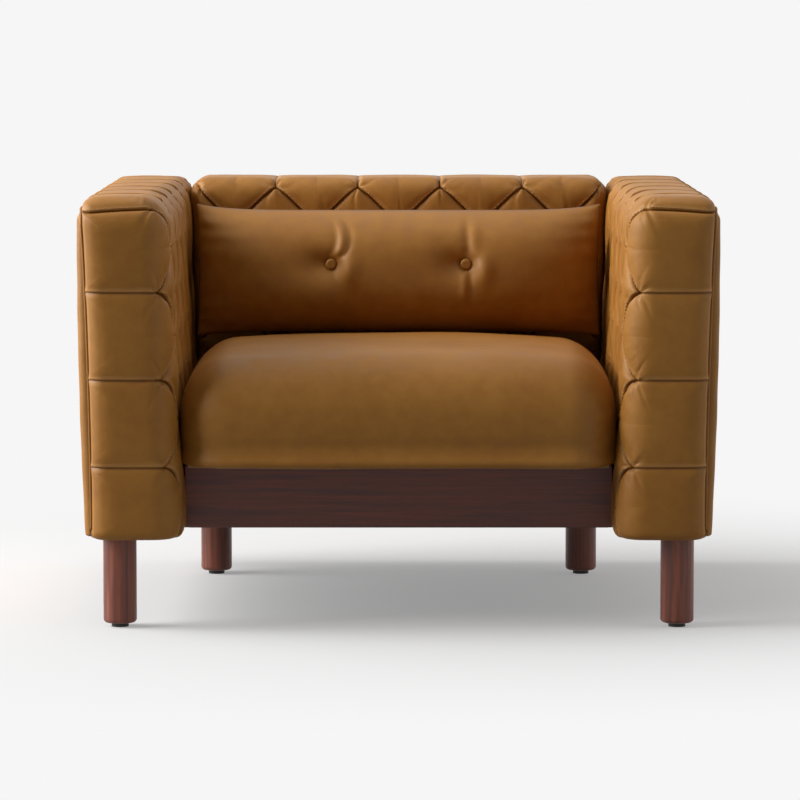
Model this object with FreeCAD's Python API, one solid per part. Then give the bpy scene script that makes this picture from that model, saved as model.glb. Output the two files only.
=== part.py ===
"""Tufted leather accent chair: slab arms and back sewn in diamonds, a loose seat cushion,
a loose lumbar pillow, a recessed walnut plinth and four round walnut legs.

Millimetres. The origin is on the floor under the middle of the chair, X to the right,
Y to the back, Z up. The right side is drawn and the left side is its mirror image.
"""
import FreeCAD
import Part
import math
import os

V = FreeCAD.Vector

# Whole chair
overall_width = 970.0
overall_depth = 860.0
overall_height = 656.0
arm_underside = 138.0
plinth_underside = 140.0
back_thickness = 180.0
rest_gap = 0.3
side_gap = 0.4
cut_overrun = 5.0

# Right arm, as the padded leather shows it
arm_low_thickness = 158.4
arm_high_thickness = 139.0
welt_low_inset = 14.0
welt_high_inset = 9.0
arm_round = 35.0
edge_round = 9.0
cover_thickness = 10.0
leather_wrap = 3.0

# Diamond sewing, shared by the arms and the back
arm_tuft_depth_pitch = 135.0
arm_tuft_height_pitch = 132.0
arm_stitch_drop = 13.0
back_tuft_height_pitch = 132.0
back_stitch_drop = 10.0
back_seam_count = 6
back_seam_margin = 8.5
diamond_seam_half = 30.0
diamond_seam_depth = 5.0
straight_seam_half = 15.0
straight_seam_depth = 3.5
seam_lift = 1.0
seam_head = 8.0
seam_bow_share = 0.04
seam_knee_shares = (1 / 3, 2 / 3, 1.0)
end_share = 0.02

# Outside arm panel and its welt
panel_foot_inset = 10.5
widest_drop = 96.0
panel_top_drop = 8.0
panel_edge_round = 2.4
welt_radius = 2.4
welt_clearance = 0.3
welt_inset = 4.6
welt_bend = 16.0

# Arm frame, timber
frame_outer_inset = 28.0
arm_frame_thickness = 75.0
inner_board_thickness = 5.0
outer_board_thickness = 5.0
arm_front_padding = 28.0
post_depth = 45.0
bottom_rail_height = 45.0
top_rail_height = 45.0
top_padding = 30.0
rear_panel_thickness = 10.0
foam_gap = 0.3

# Back
back_round = 30.0
back_cover_thickness = 12.0
back_frame_thickness = 50.0
back_board_thickness = 5.0
back_rail_height = 70.0
back_head_padding = 38.0
upright_width = 50.0
rear_welt_radius = 3.0

# Plinth, walnut outside
rail_setback = 150.0
rail_thickness = 22.0
side_rail_thickness = 16.0
plinth_inset = 156.0
plinth_height = 96.0
rail_edge_round = 1.5
leg_rail_width = 74.0
leg_rail_height = 40.0
corner_block_leg = 50.0
packing_front_inset = 50.0
packing_rear_inset = 100.0
packing_foot_inset = 5.0
packing_head_inset = 4.0
dust_cover_thickness = 0.8
dust_cover_margin = 6.0

# Seat deck
spring_rail_width = 50.0
spring_rail_height = 60.0
spring_wire = 3.8
spring_count = 5
spring_side_inset = 79.0
spring_bend_width = 50.0
spring_bend_pitch = 24.0
spring_drop = 10.0
clip_width = 12.0
clip_depth = 7.0
deck_board_overhang = 38.0
deck_board_thickness = 6.5
deck_cloth_thickness = 2.7
deck_side_inset = 7.0

# Seat cushion
seat_front_depth = 20.0
seat_bulge = 5.0
seat_thickness = 176.5
seat_foot_inset = 4.5
seat_crown_depth = 300.0
seat_shoulder_round = 85.0
seat_shoulder_drop = 5.0
seat_rear_round = 90.0
seat_rear_drop = 14.0
seat_side_drop = 42.0
seat_corner_retreat = 28.0
seat_side_tuck = 46.0
seat_skin = 3.0
seat_crown_power = 5
seat_corner_power = 8
seat_rear_retreat_share = 0.5
seat_round_limit_share = 0.5
seat_belly_share = 0.6
seat_station_shares = (0.0, 0.3, 0.55, 0.72, 0.84, 0.92, 0.965, 0.985, 1.0)
zip_length = 520.0
zip_width = 24.0
zip_thickness = 1.4
zip_rise = 74.5
zip_room = 3.2
teeth_width = 5.0
teeth_thickness = 1.2
slider_length = 26.0
slider_width = 9.0
slider_thickness = 2.8

# Back cushion
pillow_side_room = 9.6
pillow_front_bulge = 84.0
pillow_rear_bulge = 111.7
pillow_end_half_thickness = 3.0
pillow_settle = 1.3
pillow_height = 197.6
pillow_ear = 10.0
pillow_foot_ear = 6.0
pillow_seam_half = 2.5
pillow_skin = 2.5
pillow_lean = 12.0
pillow_end_share = 0.99
pillow_swell_power = 3
pillow_ear_power = 6
pillow_flat_share = 0.16
pillow_station_shares = (0.0, 0.28, 0.52, 0.71, 0.85, 0.94, 0.985, 1.0)
button_spacing = 217.0
button_drop = 84.0
button_radius = 9.0
button_crown = 4.0
button_rim = 3.0
dimple_radius = 34.0
dimple_depth = 14.0
dimple_bow_share = 0.08
twine_radius = 1.0
twine_clearance = 0.3

# Legs and fasteners
leg_radius = 25.4
leg_edge_round = 6.0
front_leg_side_inset = 61.5
front_leg_depth = 60.0
rear_leg_side_inset = 182.3
rear_leg_back_inset = 173.0
glide_radius = 13.0
glide_height = 6.0
glide_pin_radius = 3.0
glide_pin_length = 14.0
pin_clearance = 0.1
hanger_radius = 4.0
hanger_in_leg = 35.0
hanger_in_rail = 20.0
insert_radius = 6.0
insert_length = 24.0
bolt_radius = 4.0
bolt_head_radius = 7.5
bolt_head_height = 5.0
bolt_grip = 38.0
arm_bolt_end_inset = 70.0
arm_bolt_rise = 20.0
back_bolt_rise = 12.0
back_bolt_drop = 16.0
plinth_bolt_inset = 149.0
plinth_bolt_rise = 18.0

half_width = overall_width / 2
front_y = -overall_depth / 2
rear_y = overall_depth / 2
panel_y = rear_y - rear_panel_thickness
inside_low_half = half_width - arm_low_thickness
inside_high_half = half_width - arm_high_thickness
welt_low_half = half_width - welt_low_inset
welt_high_half = half_width - welt_high_inset
arm_top_stitch_height = overall_height - arm_stitch_drop
arm_half_depth_pitch = arm_tuft_depth_pitch / 2
arm_half_height_pitch = arm_tuft_height_pitch / 2
panel_foot_half = half_width - panel_foot_inset
panel_foot_height = arm_underside + leather_wrap
panel_top_height = overall_height - panel_top_drop
widest_height = overall_height - widest_drop
frame_outer_half = half_width - frame_outer_inset
frame_inner_half = frame_outer_half - arm_frame_thickness
frame_top = overall_height - top_padding
back_front_depth = overall_depth - back_thickness
back_front_y = front_y + back_front_depth
back_frame_y = panel_y - back_frame_thickness
back_board_y = back_frame_y - back_board_thickness
back_top_rail_top = overall_height - back_head_padding
back_top_stitch_height = overall_height - back_stitch_drop
back_seam_reach = inside_high_half - back_seam_margin
back_half_width_pitch = back_seam_reach / (back_seam_count - 1)
back_half_height_pitch = back_tuft_height_pitch / 2
rail_y = front_y + rail_setback
plinth_half = half_width - plinth_inset
plinth_inner_half = plinth_half - side_rail_thickness
plinth_top = plinth_underside + plinth_height
packing_y0 = rail_y + packing_front_inset
packing_y1 = back_frame_y - packing_rear_inset
packing_foot = plinth_underside + packing_foot_inset
packing_head = plinth_top - packing_head_inset
deck_half = plinth_half - deck_side_inset
deck_board_top = plinth_top + deck_board_thickness
deck_top = deck_board_top + deck_cloth_thickness
front_leg_half = half_width - front_leg_side_inset
rear_leg_half = half_width - rear_leg_side_inset
front_leg_y = front_y + front_leg_depth
rear_leg_y = rear_y - rear_leg_back_inset


def crown_half(z):
    """Half the room between the arms at a height, at the crowns of the diamonds."""
    share = (z - arm_underside) / (overall_height - arm_underside)
    return inside_low_half + share * (inside_high_half - inside_low_half)


def welt_half(z):
    """Half the width at a height, on the outer edge of an arm cover."""
    share = (z - arm_underside) / (overall_height - arm_underside)
    return welt_low_half + share * (welt_high_half - welt_low_half)


seat_bottom = deck_top + rest_gap
seat_crown = seat_bottom + seat_thickness
seat_half = crown_half(seat_bottom + seat_side_tuck) - side_gap
seat_foot_half = seat_half - seat_foot_inset
seat_rear_depth = back_front_depth - slider_thickness - zip_room
zip_height = seat_bottom + zip_rise
pillow_seam_depth = back_front_depth - rest_gap - pillow_rear_bulge


def block(x0, x1, y0, y1, z0, z1):
    """Rectangular block between two corners."""
    return Part.makeBox(x1 - x0, y1 - y0, z1 - z0, V(x0, y0, z0))


def prism(points, along):
    """Solid swept straight from a closed outline of corner points."""
    return Part.Face(Part.makePolygon(points + points[:1])).extrude(along)


def line(a, b):
    """Straight edge between two points."""
    return Part.LineSegment(a, b).toShape()


def arc(a, b, c):
    """Arc edge through three points."""
    return Part.Arc(a, b, c).toShape()


def rod(start, end, radius):
    """Round bar between two points."""
    run = end - start
    return Part.makeCylinder(radius, run.Length, start, run)


def mirrored(shape):
    """The left-hand twin of a right-hand shape."""
    return shape.mirror(V(0, 0, 0), V(1, 0, 0))


def rounded(shape, radius, chosen):
    """The shape with a fillet on the edges that the test picks."""
    return shape.makeFillet(radius, [edge for edge in shape.Edges if chosen(edge)])


def lies(edge, **places):
    """True where the whole edge keeps the named coordinates, within a hair."""
    hair = seam_lift / 100
    bounds = edge.BoundBox
    for axis, value in places.items():
        low = getattr(bounds, axis.upper() + "Min")
        high = getattr(bounds, axis.upper() + "Max")
        if abs(low - value) > hair or abs(high - value) > hair:
            return False
    return True


# Sewn seams


def seam_wire(point, along, normal, half, depth):
    """Cross-section of the groove that a seam pulls into padding: two bowed flanks."""
    side = along.cross(normal)
    side.normalize()
    bottom = point - normal * depth
    left = point - side * half + normal * seam_lift
    right = point + side * half + normal * seam_lift
    left_head = left + normal * seam_head
    right_head = right + normal * seam_head
    bow = normal * (half * seam_bow_share)
    return Part.Wire(
        [
            arc(left, (left + bottom) * 0.5 + bow, bottom),
            arc(bottom, (bottom + right) * 0.5 + bow, right),
            line(right, right_head),
            line(right_head, left_head),
            line(left_head, left),
        ]
    )


def seam_tool(stations, half, depth):
    """Groove along a line of (point, normal) pairs that lies on the padded surface."""
    wires = []
    for index, (point, normal) in enumerate(stations):
        before = stations[max(index - 1, 0)][0]
        after = stations[min(index + 1, len(stations) - 1)][0]
        along = after - before
        along = along - normal * along.dot(normal)
        along.normalize()
        wires.append(seam_wire(point, along, normal, half, depth))
    return Part.makeLoft(wires, True, True)


def arm_surface(depth, height):
    """Point and normal on the right arm's inside, unrolled over its front and top rounds."""
    turn = max(0, (arm_round - depth) / arm_round)
    rise = max(0, (height - overall_height + arm_round) / arm_round)
    core_z = min(height, overall_height - arm_round)
    core = V(crown_half(core_z) + arm_round, front_y + max(depth, arm_round), core_z)
    normal = V(
        -math.cos(turn) * math.cos(rise), -math.sin(turn) * math.cos(rise), math.sin(rise)
    )
    return core + normal * arm_round, normal


def back_surface(x, height):
    """Point and normal on the front of the back, unrolled over its top round."""
    rise = max(0, (height - overall_height + back_round) / back_round)
    core = V(x, back_front_y + back_round, min(height, overall_height - back_round))
    normal = V(0, -math.cos(rise), math.sin(rise))
    return core + normal * back_round, normal


def seam_stations(surface, start, end, first_knees, second_knees):
    """Points along a straight unrolled line, with one wherever it passes a knee value."""
    shares = {0.0, 1.0}
    for axis, knees in enumerate((first_knees, second_knees)):
        run = end[axis] - start[axis]
        inside = [(knee - start[axis]) / run for knee in knees]
        shares.update(share for share in inside if end_share < share < 1 - end_share)
    return [
        surface(*(a + share * (b - a) for a, b in zip(start, end))) for share in sorted(shares)
    ]


def diamond_seam(stations):
    """Deep groove between two diamonds."""
    return seam_tool(stations, diamond_seam_half, diamond_seam_depth)


def straight_seam(stations):
    """Shallow groove between two flat panels."""
    return seam_tool(stations, straight_seam_half, straight_seam_depth)


def diagonals(top_corner, half_pitch, columns, rows):
    """Ends of the falling and of the rising seams of a diamond field, in unrolled coordinates.

    The field is columns by rows of half pitches, down from its top corner, and a seam
    starts at every other half pitch.
    """

    def place(column, row):
        return top_corner[0] + column * half_pitch[0], top_corner[1] - row * half_pitch[1]

    falling = []
    for start in range(-rows + rows % 2, columns + 1, 2):
        low, high = max(0, start), min(columns, start + rows)
        if high > low:
            falling.append((place(low, low - start), place(high, high - start)))
    rising = []
    for start in range(0, columns + rows + 1, 2):
        low, high = max(0, start - rows), min(columns, start)
        if high > low:
            rising.append((place(low, start - low), place(high, start - high)))
    return falling, rising


def sewn(body, groups):
    """The body with its grooves cut, one group of grooves that don't cross at a time."""
    for group in groups:
        body = body.cut(group)
    return body


# Arms


def arm_body(inset, foot, outer_x_low, outer_x_high, end_y):
    """Slab of the right arm, drawn in by an inset on its inside, front and top."""
    top = overall_height - inset
    start_y = front_y + inset
    corners = [
        V(crown_half(foot) + inset, start_y, foot),
        V(crown_half(top) + inset, start_y, top),
        V(outer_x_high, start_y, top),
        V(outer_x_low, start_y, foot),
    ]
    slab = prism(corners, V(0, end_y - start_y, 0))
    middle = (crown_half(top) + inset + outer_x_high) / 2

    def soft_edge(edge):
        box = edge.BoundBox
        along_y = lies(edge, z=top) and box.XMax < middle and box.XLength < cut_overrun
        along_x = lies(edge, y=start_y, z=top)
        upright = lies(edge, y=start_y) and box.XMax < middle and box.ZLength > inset + arm_round
        return along_y or along_x or upright

    return rounded(slab, arm_round - inset, soft_edge)


def arm_envelope():
    """Timber core of the arm with its two boards, as one block."""
    return block(
        frame_inner_half - inner_board_thickness,
        frame_outer_half + outer_board_thickness,
        front_y + arm_front_padding,
        panel_y,
        arm_underside + leather_wrap,
        frame_top,
    )


def back_socket():
    """Room in the arm's inside padding for the end of the back frame."""
    return block(
        plinth_half - cut_overrun,
        frame_inner_half,
        back_frame_y,
        panel_y + cut_overrun,
        plinth_underside,
        back_top_rail_top,
    )


def packing_rail():
    """Timber that carries the arm on the side of the plinth."""
    return block(
        plinth_half,
        frame_inner_half,
        packing_y0,
        packing_y1,
        packing_foot,
        packing_head,
    )


def plinth_block():
    """Whole plinth as one block, which the arm padding is pressed against."""
    return block(-plinth_half, plinth_half, rail_y, back_frame_y, plinth_underside, plinth_top)


def arm_seams():
    """Grooves of the diamonds, the cross seams over the top and the seams on the front."""
    round_start = overall_height - arm_round
    stitch_rise = arm_top_stitch_height - round_start
    knees_depth = [share * arm_round for share in seam_knee_shares]
    knees_height = [round_start + share * stitch_rise for share in (0, *seam_knee_shares)]
    columns = math.ceil((back_front_depth + back_round) / arm_half_depth_pitch)
    field = diagonals(
        (0, arm_top_stitch_height),
        (arm_half_depth_pitch, arm_half_height_pitch),
        columns,
        math.ceil((arm_top_stitch_height - arm_underside) / arm_half_height_pitch),
    )
    groups = [
        [
            diamond_seam(seam_stations(arm_surface, start, end, knees_depth, knees_height))
            for start, end in family
        ]
        for family in field
    ]
    turn_length = math.pi / 2 * arm_round
    flat_top = round_start + turn_length
    out = welt_high_half + cut_overrun
    over_top = flat_top - arm_top_stitch_height
    knees_over = [arm_top_stitch_height + share * over_top for share in seam_knee_shares]
    cross_seams = []
    for column in range(2, columns, 2):
        depth = column * arm_half_depth_pitch
        over = seam_stations(
            arm_surface,
            (depth, arm_top_stitch_height),
            (depth, flat_top),
            (),
            knees_over,
        )
        over.append((V(out, front_y + depth, overall_height), V(0, 0, 1)))
        cross_seams.append(straight_seam(over))
    rise = stitch_rise / arm_round
    front_normal = V(0, -math.cos(rise), math.sin(rise))
    start = V(crown_half(round_start) + arm_round, front_y + arm_round, round_start)
    start = start + front_normal * arm_round
    top_seam = [arm_surface(0, arm_top_stitch_height), (start, front_normal)]
    top_seam.append((V(out, start.y, start.z), front_normal))
    front_seams = [straight_seam(top_seam)]
    rows = math.floor((arm_top_stitch_height - arm_underside) / arm_tuft_height_pitch)
    for row in range(1, rows + 1):
        height = arm_top_stitch_height - row * arm_tuft_height_pitch
        flat_front = arm_round - turn_length
        across = seam_stations(
            arm_surface,
            (0, height),
            (flat_front, height),
            [share * flat_front for share in seam_knee_shares],
            (),
        )
        across.append((V(out, front_y, height), V(0, -1, 0)))
        front_seams.append(straight_seam(across))
    return groups + [cross_seams, front_seams]


def welt_path(x_low, x_high, front, top, end):
    """Path of the welt up the front edge of the arm and back along its top edge."""
    foot = V(x_low, front, panel_foot_height + edge_round)
    knee = V(x_high, front, top)
    lean = knee - foot
    lean.normalize()
    back = V(0, 1, 0)
    rise_end = knee - lean * welt_bend
    run_start = knee + back * welt_bend
    centre = knee - lean * welt_bend + back * welt_bend
    outward = knee - centre
    outward.normalize()
    return Part.Wire(
        [
            line(foot, rise_end),
            arc(rise_end, centre + outward * welt_bend, run_start),
            line(run_start, V(x_high, end, top)),
        ]
    )


def pipe(path, radius):
    """Round tube of a given radius along a path of lines and arcs."""
    start = path.Vertexes[0].Point
    along = path.Edges[0].tangentAt(path.Edges[0].FirstParameter)
    ring = Part.Wire(Part.Circle(start, along, radius).toShape())
    return path.makePipeShell([ring], True, False)


def arm_welt(grow):
    """Leather-covered cord in the seam between the arm cover and its outside panel."""
    path = welt_path(
        welt_half(panel_foot_height),
        welt_half(panel_top_height),
        front_y + welt_inset,
        overall_height - welt_inset,
        panel_y,
    )
    return pipe(path, welt_radius + grow)


def arm_cover():
    """Padded leather over the inside, front and top of the right arm, wrapped underneath."""
    out_low = welt_half(arm_underside)
    out_high = welt_half(overall_height)
    body = arm_body(0, arm_underside, out_low, out_high, panel_y)

    def outer_or_lower(edge):
        box = edge.BoundBox
        if lies(edge, y=panel_y):
            return False
        outside = box.XMin > out_low - seam_lift and box.XMax > out_low - seam_lift
        return outside or lies(edge, z=arm_underside)

    body = rounded(body, edge_round, outer_or_lower)
    cavity = arm_body(
        cover_thickness,
        arm_underside + leather_wrap,
        out_high + cut_overrun,
        out_high + cut_overrun,
        panel_y + cut_overrun,
    )
    cover = sewn(body.cut(cavity), arm_seams())
    return cover.cut([plinth_block(), packing_rail(), back_socket(), arm_welt(welt_clearance)])


def arm_foam():
    """Foam and wadding round the right arm's timber, a little clear of the cover."""
    inset = cover_thickness + foam_gap
    foot = arm_underside + leather_wrap
    low = welt_half(foot) - foam_gap
    high = welt_half(overall_height) - foam_gap
    body = arm_body(inset, foot, low, high, panel_y - foam_gap)
    return body.cut([arm_envelope(), plinth_block(), packing_rail(), back_socket()])


def outside_panel():
    """Leather panel on the outside of the right arm, widest near its top."""
    drop = half_width - panel_foot_half
    rise = widest_height - panel_foot_height
    bow_radius = (rise * rise + drop * drop) / (2 * drop)

    def bow(z):
        return half_width - bow_radius + math.sqrt(bow_radius**2 - (z - widest_height) ** 2)

    y = front_y + welt_inset / 2
    foot_in = V(welt_half(panel_foot_height), y, panel_foot_height)
    head_in = V(welt_half(panel_top_height), y, panel_top_height)
    head_out = V(bow(panel_top_height), y, panel_top_height)
    foot_out = V(panel_foot_half, y, panel_foot_height)
    outline = Part.Wire(
        [
            line(foot_in, head_in),
            line(head_in, head_out),
            arc(head_out, V(half_width, y, widest_height), foot_out),
            line(foot_out, foot_in),
        ]
    )
    panel = Part.Face(outline).extrude(V(0, panel_y - y, 0))
    outer = [edge for edge in panel.Edges if edge.BoundBox.XMin > panel_foot_half - seam_lift]
    outer = [edge for edge in outer if not lies(edge, y=panel_y)]
    return panel.makeFillet(panel_edge_round, outer).cut(arm_welt(welt_clearance))


def arm_timber():
    """Posts, rails and boards of the right arm by name."""
    x0 = frame_inner_half
    x1 = frame_outer_half
    y0 = front_y + arm_front_padding
    foot = arm_underside + leather_wrap
    bottom_top = foot + bottom_rail_height
    top_foot = frame_top - top_rail_height
    front_post = block(x0, x1, y0, y0 + post_depth, bottom_top, top_foot)
    rear_post = block(x0, x1, panel_y - post_depth, panel_y, bottom_top, top_foot)
    board_foot = packing_head + foam_gap
    board_x = x0 - inner_board_thickness
    inner = block(board_x, x0, y0, back_frame_y - foam_gap, board_foot, frame_top)
    outer = block(x1, x1 + outer_board_thickness, y0, panel_y, foot, frame_top)
    return {
        "arm_posts": Part.makeCompound([front_post, rear_post]),
        "arm_top_rail": block(x0, x1, y0, panel_y, top_foot, frame_top),
        "arm_bottom_rail": block(x0, x1, y0, panel_y, foot, bottom_top),
        "arm_inner_board": inner,
        "arm_outer_board": outer,
    }


# Back


def back_body(inset, foot, end_y):
    """Slab of the back between the arms, drawn in by an inset on its front, top and ends."""
    top = overall_height - inset
    start_y = back_front_y + inset
    gap = side_gap + inset
    corners = [
        V(-crown_half(foot) + gap, start_y, foot),
        V(crown_half(foot) - gap, start_y, foot),
        V(crown_half(top) - gap, start_y, top),
        V(-crown_half(top) + gap, start_y, top),
    ]
    slab = prism(corners, V(0, end_y - start_y, 0))

    def soft_edge(edge):
        if lies(edge, y=end_y):
            return False
        upright = lies(edge, y=start_y) and edge.BoundBox.ZLength > back_round
        return lies(edge, z=top) or upright

    return rounded(slab, back_round - inset, soft_edge)


def back_seams():
    """Grooves of the diamonds on the back and the straight seams over its top."""
    round_start = overall_height - back_round
    stitch_rise = back_top_stitch_height - round_start
    knees = [round_start + share * stitch_rise for share in (0, *seam_knee_shares)]
    field = diagonals(
        (-back_seam_reach, back_top_stitch_height),
        (back_half_width_pitch, back_half_height_pitch),
        2 * (back_seam_count - 1),
        math.ceil((back_top_stitch_height - deck_top) / back_half_height_pitch),
    )
    groups = [
        [diamond_seam(seam_stations(back_surface, start, end, (), knees)) for start, end in family]
        for family in field
    ]
    flat_top = round_start + math.pi / 2 * back_round
    over_top = flat_top - back_top_stitch_height
    knees = [back_top_stitch_height + share * over_top for share in seam_knee_shares]
    over_seams = []
    for index in range(1, back_seam_count - 1):
        x = 2 * index * back_half_width_pitch - back_seam_reach
        over = seam_stations(back_surface, (x, back_top_stitch_height), (x, flat_top), (), knees)
        over.append((V(x, panel_y + cut_overrun, overall_height), V(0, 0, 1)))
        over_seams.append(straight_seam(over))
    return groups + [over_seams]


def build_back():
    """Frame, board, foam and leather of the back by name."""
    foot = seat_bottom
    frame_half = frame_inner_half
    y0 = back_frame_y
    rail_foot = plinth_underside + rest_gap
    rail_top = rail_foot + back_rail_height
    head_foot = back_top_rail_top - back_rail_height
    cavity = back_body(back_cover_thickness, foot - cut_overrun, panel_y + cut_overrun)
    frame_room = block(
        -frame_half, frame_half, back_board_y, panel_y + cut_overrun, rail_foot, back_top_rail_top
    )
    cover = sewn(back_body(0, foot, panel_y).cut([cavity, frame_room]), back_seams())
    inset = back_cover_thickness + foam_gap
    foam = back_body(inset, foot, panel_y - foam_gap).cut(frame_room)
    uprights = [
        block(x0, x0 + upright_width, y0, panel_y, rail_top, head_foot)
        for x0 in (-frame_half, -upright_width / 2, frame_half - upright_width)
    ]
    board_half = crown_half(foot) - side_gap - back_cover_thickness - foam_gap
    return {
        "back_tufted_cover": cover,
        "back_foam": foam,
        "back_bottom_rail": block(-frame_half, frame_half, y0, panel_y, rail_foot, rail_top),
        "back_top_rail": block(-frame_half, frame_half, y0, panel_y, head_foot, back_top_rail_top),
        "back_uprights": Part.makeCompound(uprights),
        "back_board": block(-board_half, board_half, back_board_y, y0, foot, back_top_rail_top),
    }


def outside_back_panel():
    """Leather panel over the whole outside of the back, from arm to arm."""
    foot = panel_foot_height
    top = panel_top_height
    corners = [
        V(-welt_half(foot), panel_y, foot),
        V(welt_half(foot), panel_y, foot),
        V(welt_half(top), panel_y, top),
        V(-welt_half(top), panel_y, top),
    ]
    panel = prism(corners, V(0, rear_panel_thickness, 0))
    return rounded(panel, rear_panel_thickness / 2, lambda edge: lies(edge, y=rear_y))


def rear_welt(grow):
    """Leather-covered cord round the sides and top of the outside back panel."""
    y = panel_y + rear_welt_radius
    foot = V(welt_half(panel_foot_height), y, panel_foot_height)
    head = V(welt_half(panel_top_height), y, panel_top_height)
    lean = head - foot
    lean.normalize()
    low = foot + lean * edge_round
    rise_end = head - lean * welt_bend
    run_start = head - V(welt_bend, 0, 0)
    centre = rise_end - V(welt_bend, 0, 0)
    outward = head - centre
    outward.normalize()
    corner = centre + outward * welt_bend

    def flip(point):
        return V(-point.x, point.y, point.z)

    path = Part.Wire(
        [
            line(low, rise_end),
            arc(rise_end, corner, run_start),
            line(run_start, flip(run_start)),
            arc(flip(run_start), flip(corner), flip(rise_end)),
            line(flip(rise_end), flip(low)),
        ]
    )
    return pipe(path, rear_welt_radius + grow)


# Plinth and deck


def build_plinth():
    """Walnut rails, cross rail and corner blocks of the plinth by name."""
    rear_rail_y = back_frame_y - rail_thickness
    inner_y = rail_y + rail_thickness
    foot = plinth_underside
    front = block(-plinth_half, plinth_half, rail_y, inner_y, foot, plinth_top)
    front = rounded(front, rail_edge_round, lambda edge: lies(edge, y=rail_y))
    side = block(plinth_inner_half, plinth_half, inner_y, rear_rail_y, foot, plinth_top)
    rear = block(-plinth_half, plinth_half, rear_rail_y, back_frame_y, foot, plinth_top)
    leg_rail = block(
        -plinth_inner_half,
        plinth_inner_half,
        rear_leg_y - leg_rail_width / 2,
        rear_leg_y + leg_rail_width / 2,
        foot,
        foot + leg_rail_height,
    )
    blocks = []
    height = plinth_top - spring_rail_height - foot
    for corner_y, sense in ((inner_y, 1), (rear_rail_y, -1)):
        corners = [
            V(plinth_inner_half, corner_y, foot),
            V(plinth_inner_half - corner_block_leg, corner_y, foot),
            V(plinth_inner_half, corner_y + sense * corner_block_leg, foot),
        ]
        wedge = prism(corners, V(0, 0, height))
        blocks += [wedge, mirrored(wedge)]
    return {
        "front_rail": front,
        "rear_rail": rear,
        "right_side_rail": side,
        "left_side_rail": mirrored(side),
        "rear_leg_rail": leg_rail,
        "corner_blocks": Part.makeCompound(blocks),
    }


def spring(x, y0, y1, z):
    """One zigzag spring: straight bars across, joined by half turns, from front to rear."""
    bends = int((y1 - y0) / spring_bend_pitch)
    pitch = (y1 - y0) / bends
    turn = pitch / 2
    reach = spring_bend_width / 2 - turn
    edges = []
    start = V(x, y0, z)
    side = 1
    for bend in range(bends):
        y = y0 + bend * pitch
        near = V(x + side * reach, y, z)
        far = near + V(0, pitch, 0)
        edges.append(line(start, near))
        edges.append(arc(near, near + V(side * turn, turn, 0), far))
        start = far
        side = -side
    edges.append(line(start, V(x, y1, z)))
    return pipe(Part.Wire(edges), spring_wire / 2)


def spring_clip(x, y, z):
    """Metal clip round the end bar of a spring, centred on the bar."""
    half = clip_depth / 2
    body = block(x - clip_width / 2, x + clip_width / 2, y - half, y + half, z - half, z + half)
    bar = Part.makeCylinder(
        spring_wire / 2 + pin_clearance, clip_width, V(x - clip_width / 2, y, z), V(1, 0, 0)
    )
    return body.cut(bar)


def build_deck():
    """Spring rails, springs, clips, board, felt and cloth of the seat deck by name."""
    front_y0 = rail_y + rail_thickness
    front_y1 = front_y0 + spring_rail_width
    rear_y1 = back_frame_y - rail_thickness
    rear_y0 = rear_y1 - spring_rail_width
    foot = plinth_top - spring_rail_height
    inner = plinth_inner_half
    spring_z = plinth_top - spring_drop
    spring_half = plinth_half - spring_side_inset
    start = front_y1 + clip_depth / 2
    end = rear_y0 - clip_depth / 2
    springs = []
    clips = []
    for index in range(spring_count):
        x = spring_half * (2 * index / (spring_count - 1) - 1)
        springs.append(spring(x, start, end, spring_z))
        clips.append(spring_clip(x, start, spring_z))
        clips.append(spring_clip(x, end, spring_z))
    board_y = rail_y - deck_board_overhang
    felt_foot = spring_z + clip_depth / 2
    return {
        "front_spring_rail": block(-inner, inner, front_y0, front_y1, foot, plinth_top),
        "rear_spring_rail": block(-inner, inner, rear_y0, rear_y1, foot, plinth_top),
        "seat_springs": Part.makeCompound(springs),
        "spring_clips": Part.makeCompound(clips),
        "front_deck_board": block(
            -deck_half, deck_half, board_y, front_y1, plinth_top, deck_board_top
        ),
        "deck_felt": block(-inner, inner, front_y1, rear_y0, felt_foot, deck_board_top),
        "deck_cloth": block(
            -deck_half, deck_half, board_y, back_board_y, deck_board_top, deck_top
        ),
    }


def dust_cover():
    """Thin cloth under the plinth with a round opening for each rear leg."""
    sheet = block(
        -plinth_half + dust_cover_margin,
        plinth_half - dust_cover_margin,
        rail_y + dust_cover_margin,
        back_frame_y - dust_cover_margin,
        plinth_underside - dust_cover_thickness,
        plinth_underside,
    )
    room = Part.makeCylinder(
        leg_radius + rest_gap,
        2 * cut_overrun,
        V(rear_leg_half, rear_leg_y, plinth_underside - cut_overrun),
    )
    return sheet.cut([room, mirrored(room)])


# Cushions


def quarter(start, end, centre):
    """Quarter of an ellipse-like round from one point to another, bowed out from a centre."""
    middle = centre + ((start - centre) + (end - centre)) * math.sqrt(1 / 2)
    return arc(start, middle, end)


def both_halves(section, shares, inset):
    """Solid lofted through sections from the middle to the right side, and its mirror image."""
    right = Part.makeLoft([section(share, inset) for share in shares], True, True)
    return right.fuse(mirrored(right)).removeSplitter()


def seat_top_at(depth):
    """Height of the seat cushion's top at a depth, along the middle of the chair."""
    front_depth = seat_front_depth - seat_bulge + seat_shoulder_round
    front = V(0, front_depth, seat_crown - seat_shoulder_drop)
    rear = V(0, seat_rear_depth - seat_rear_round, seat_crown - seat_rear_drop)
    ring = arc(front, V(0, seat_crown_depth, seat_crown), rear).Curve
    away = depth - ring.Center.y
    return ring.Center.z + math.sqrt(ring.Radius**2 - away**2)


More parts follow.
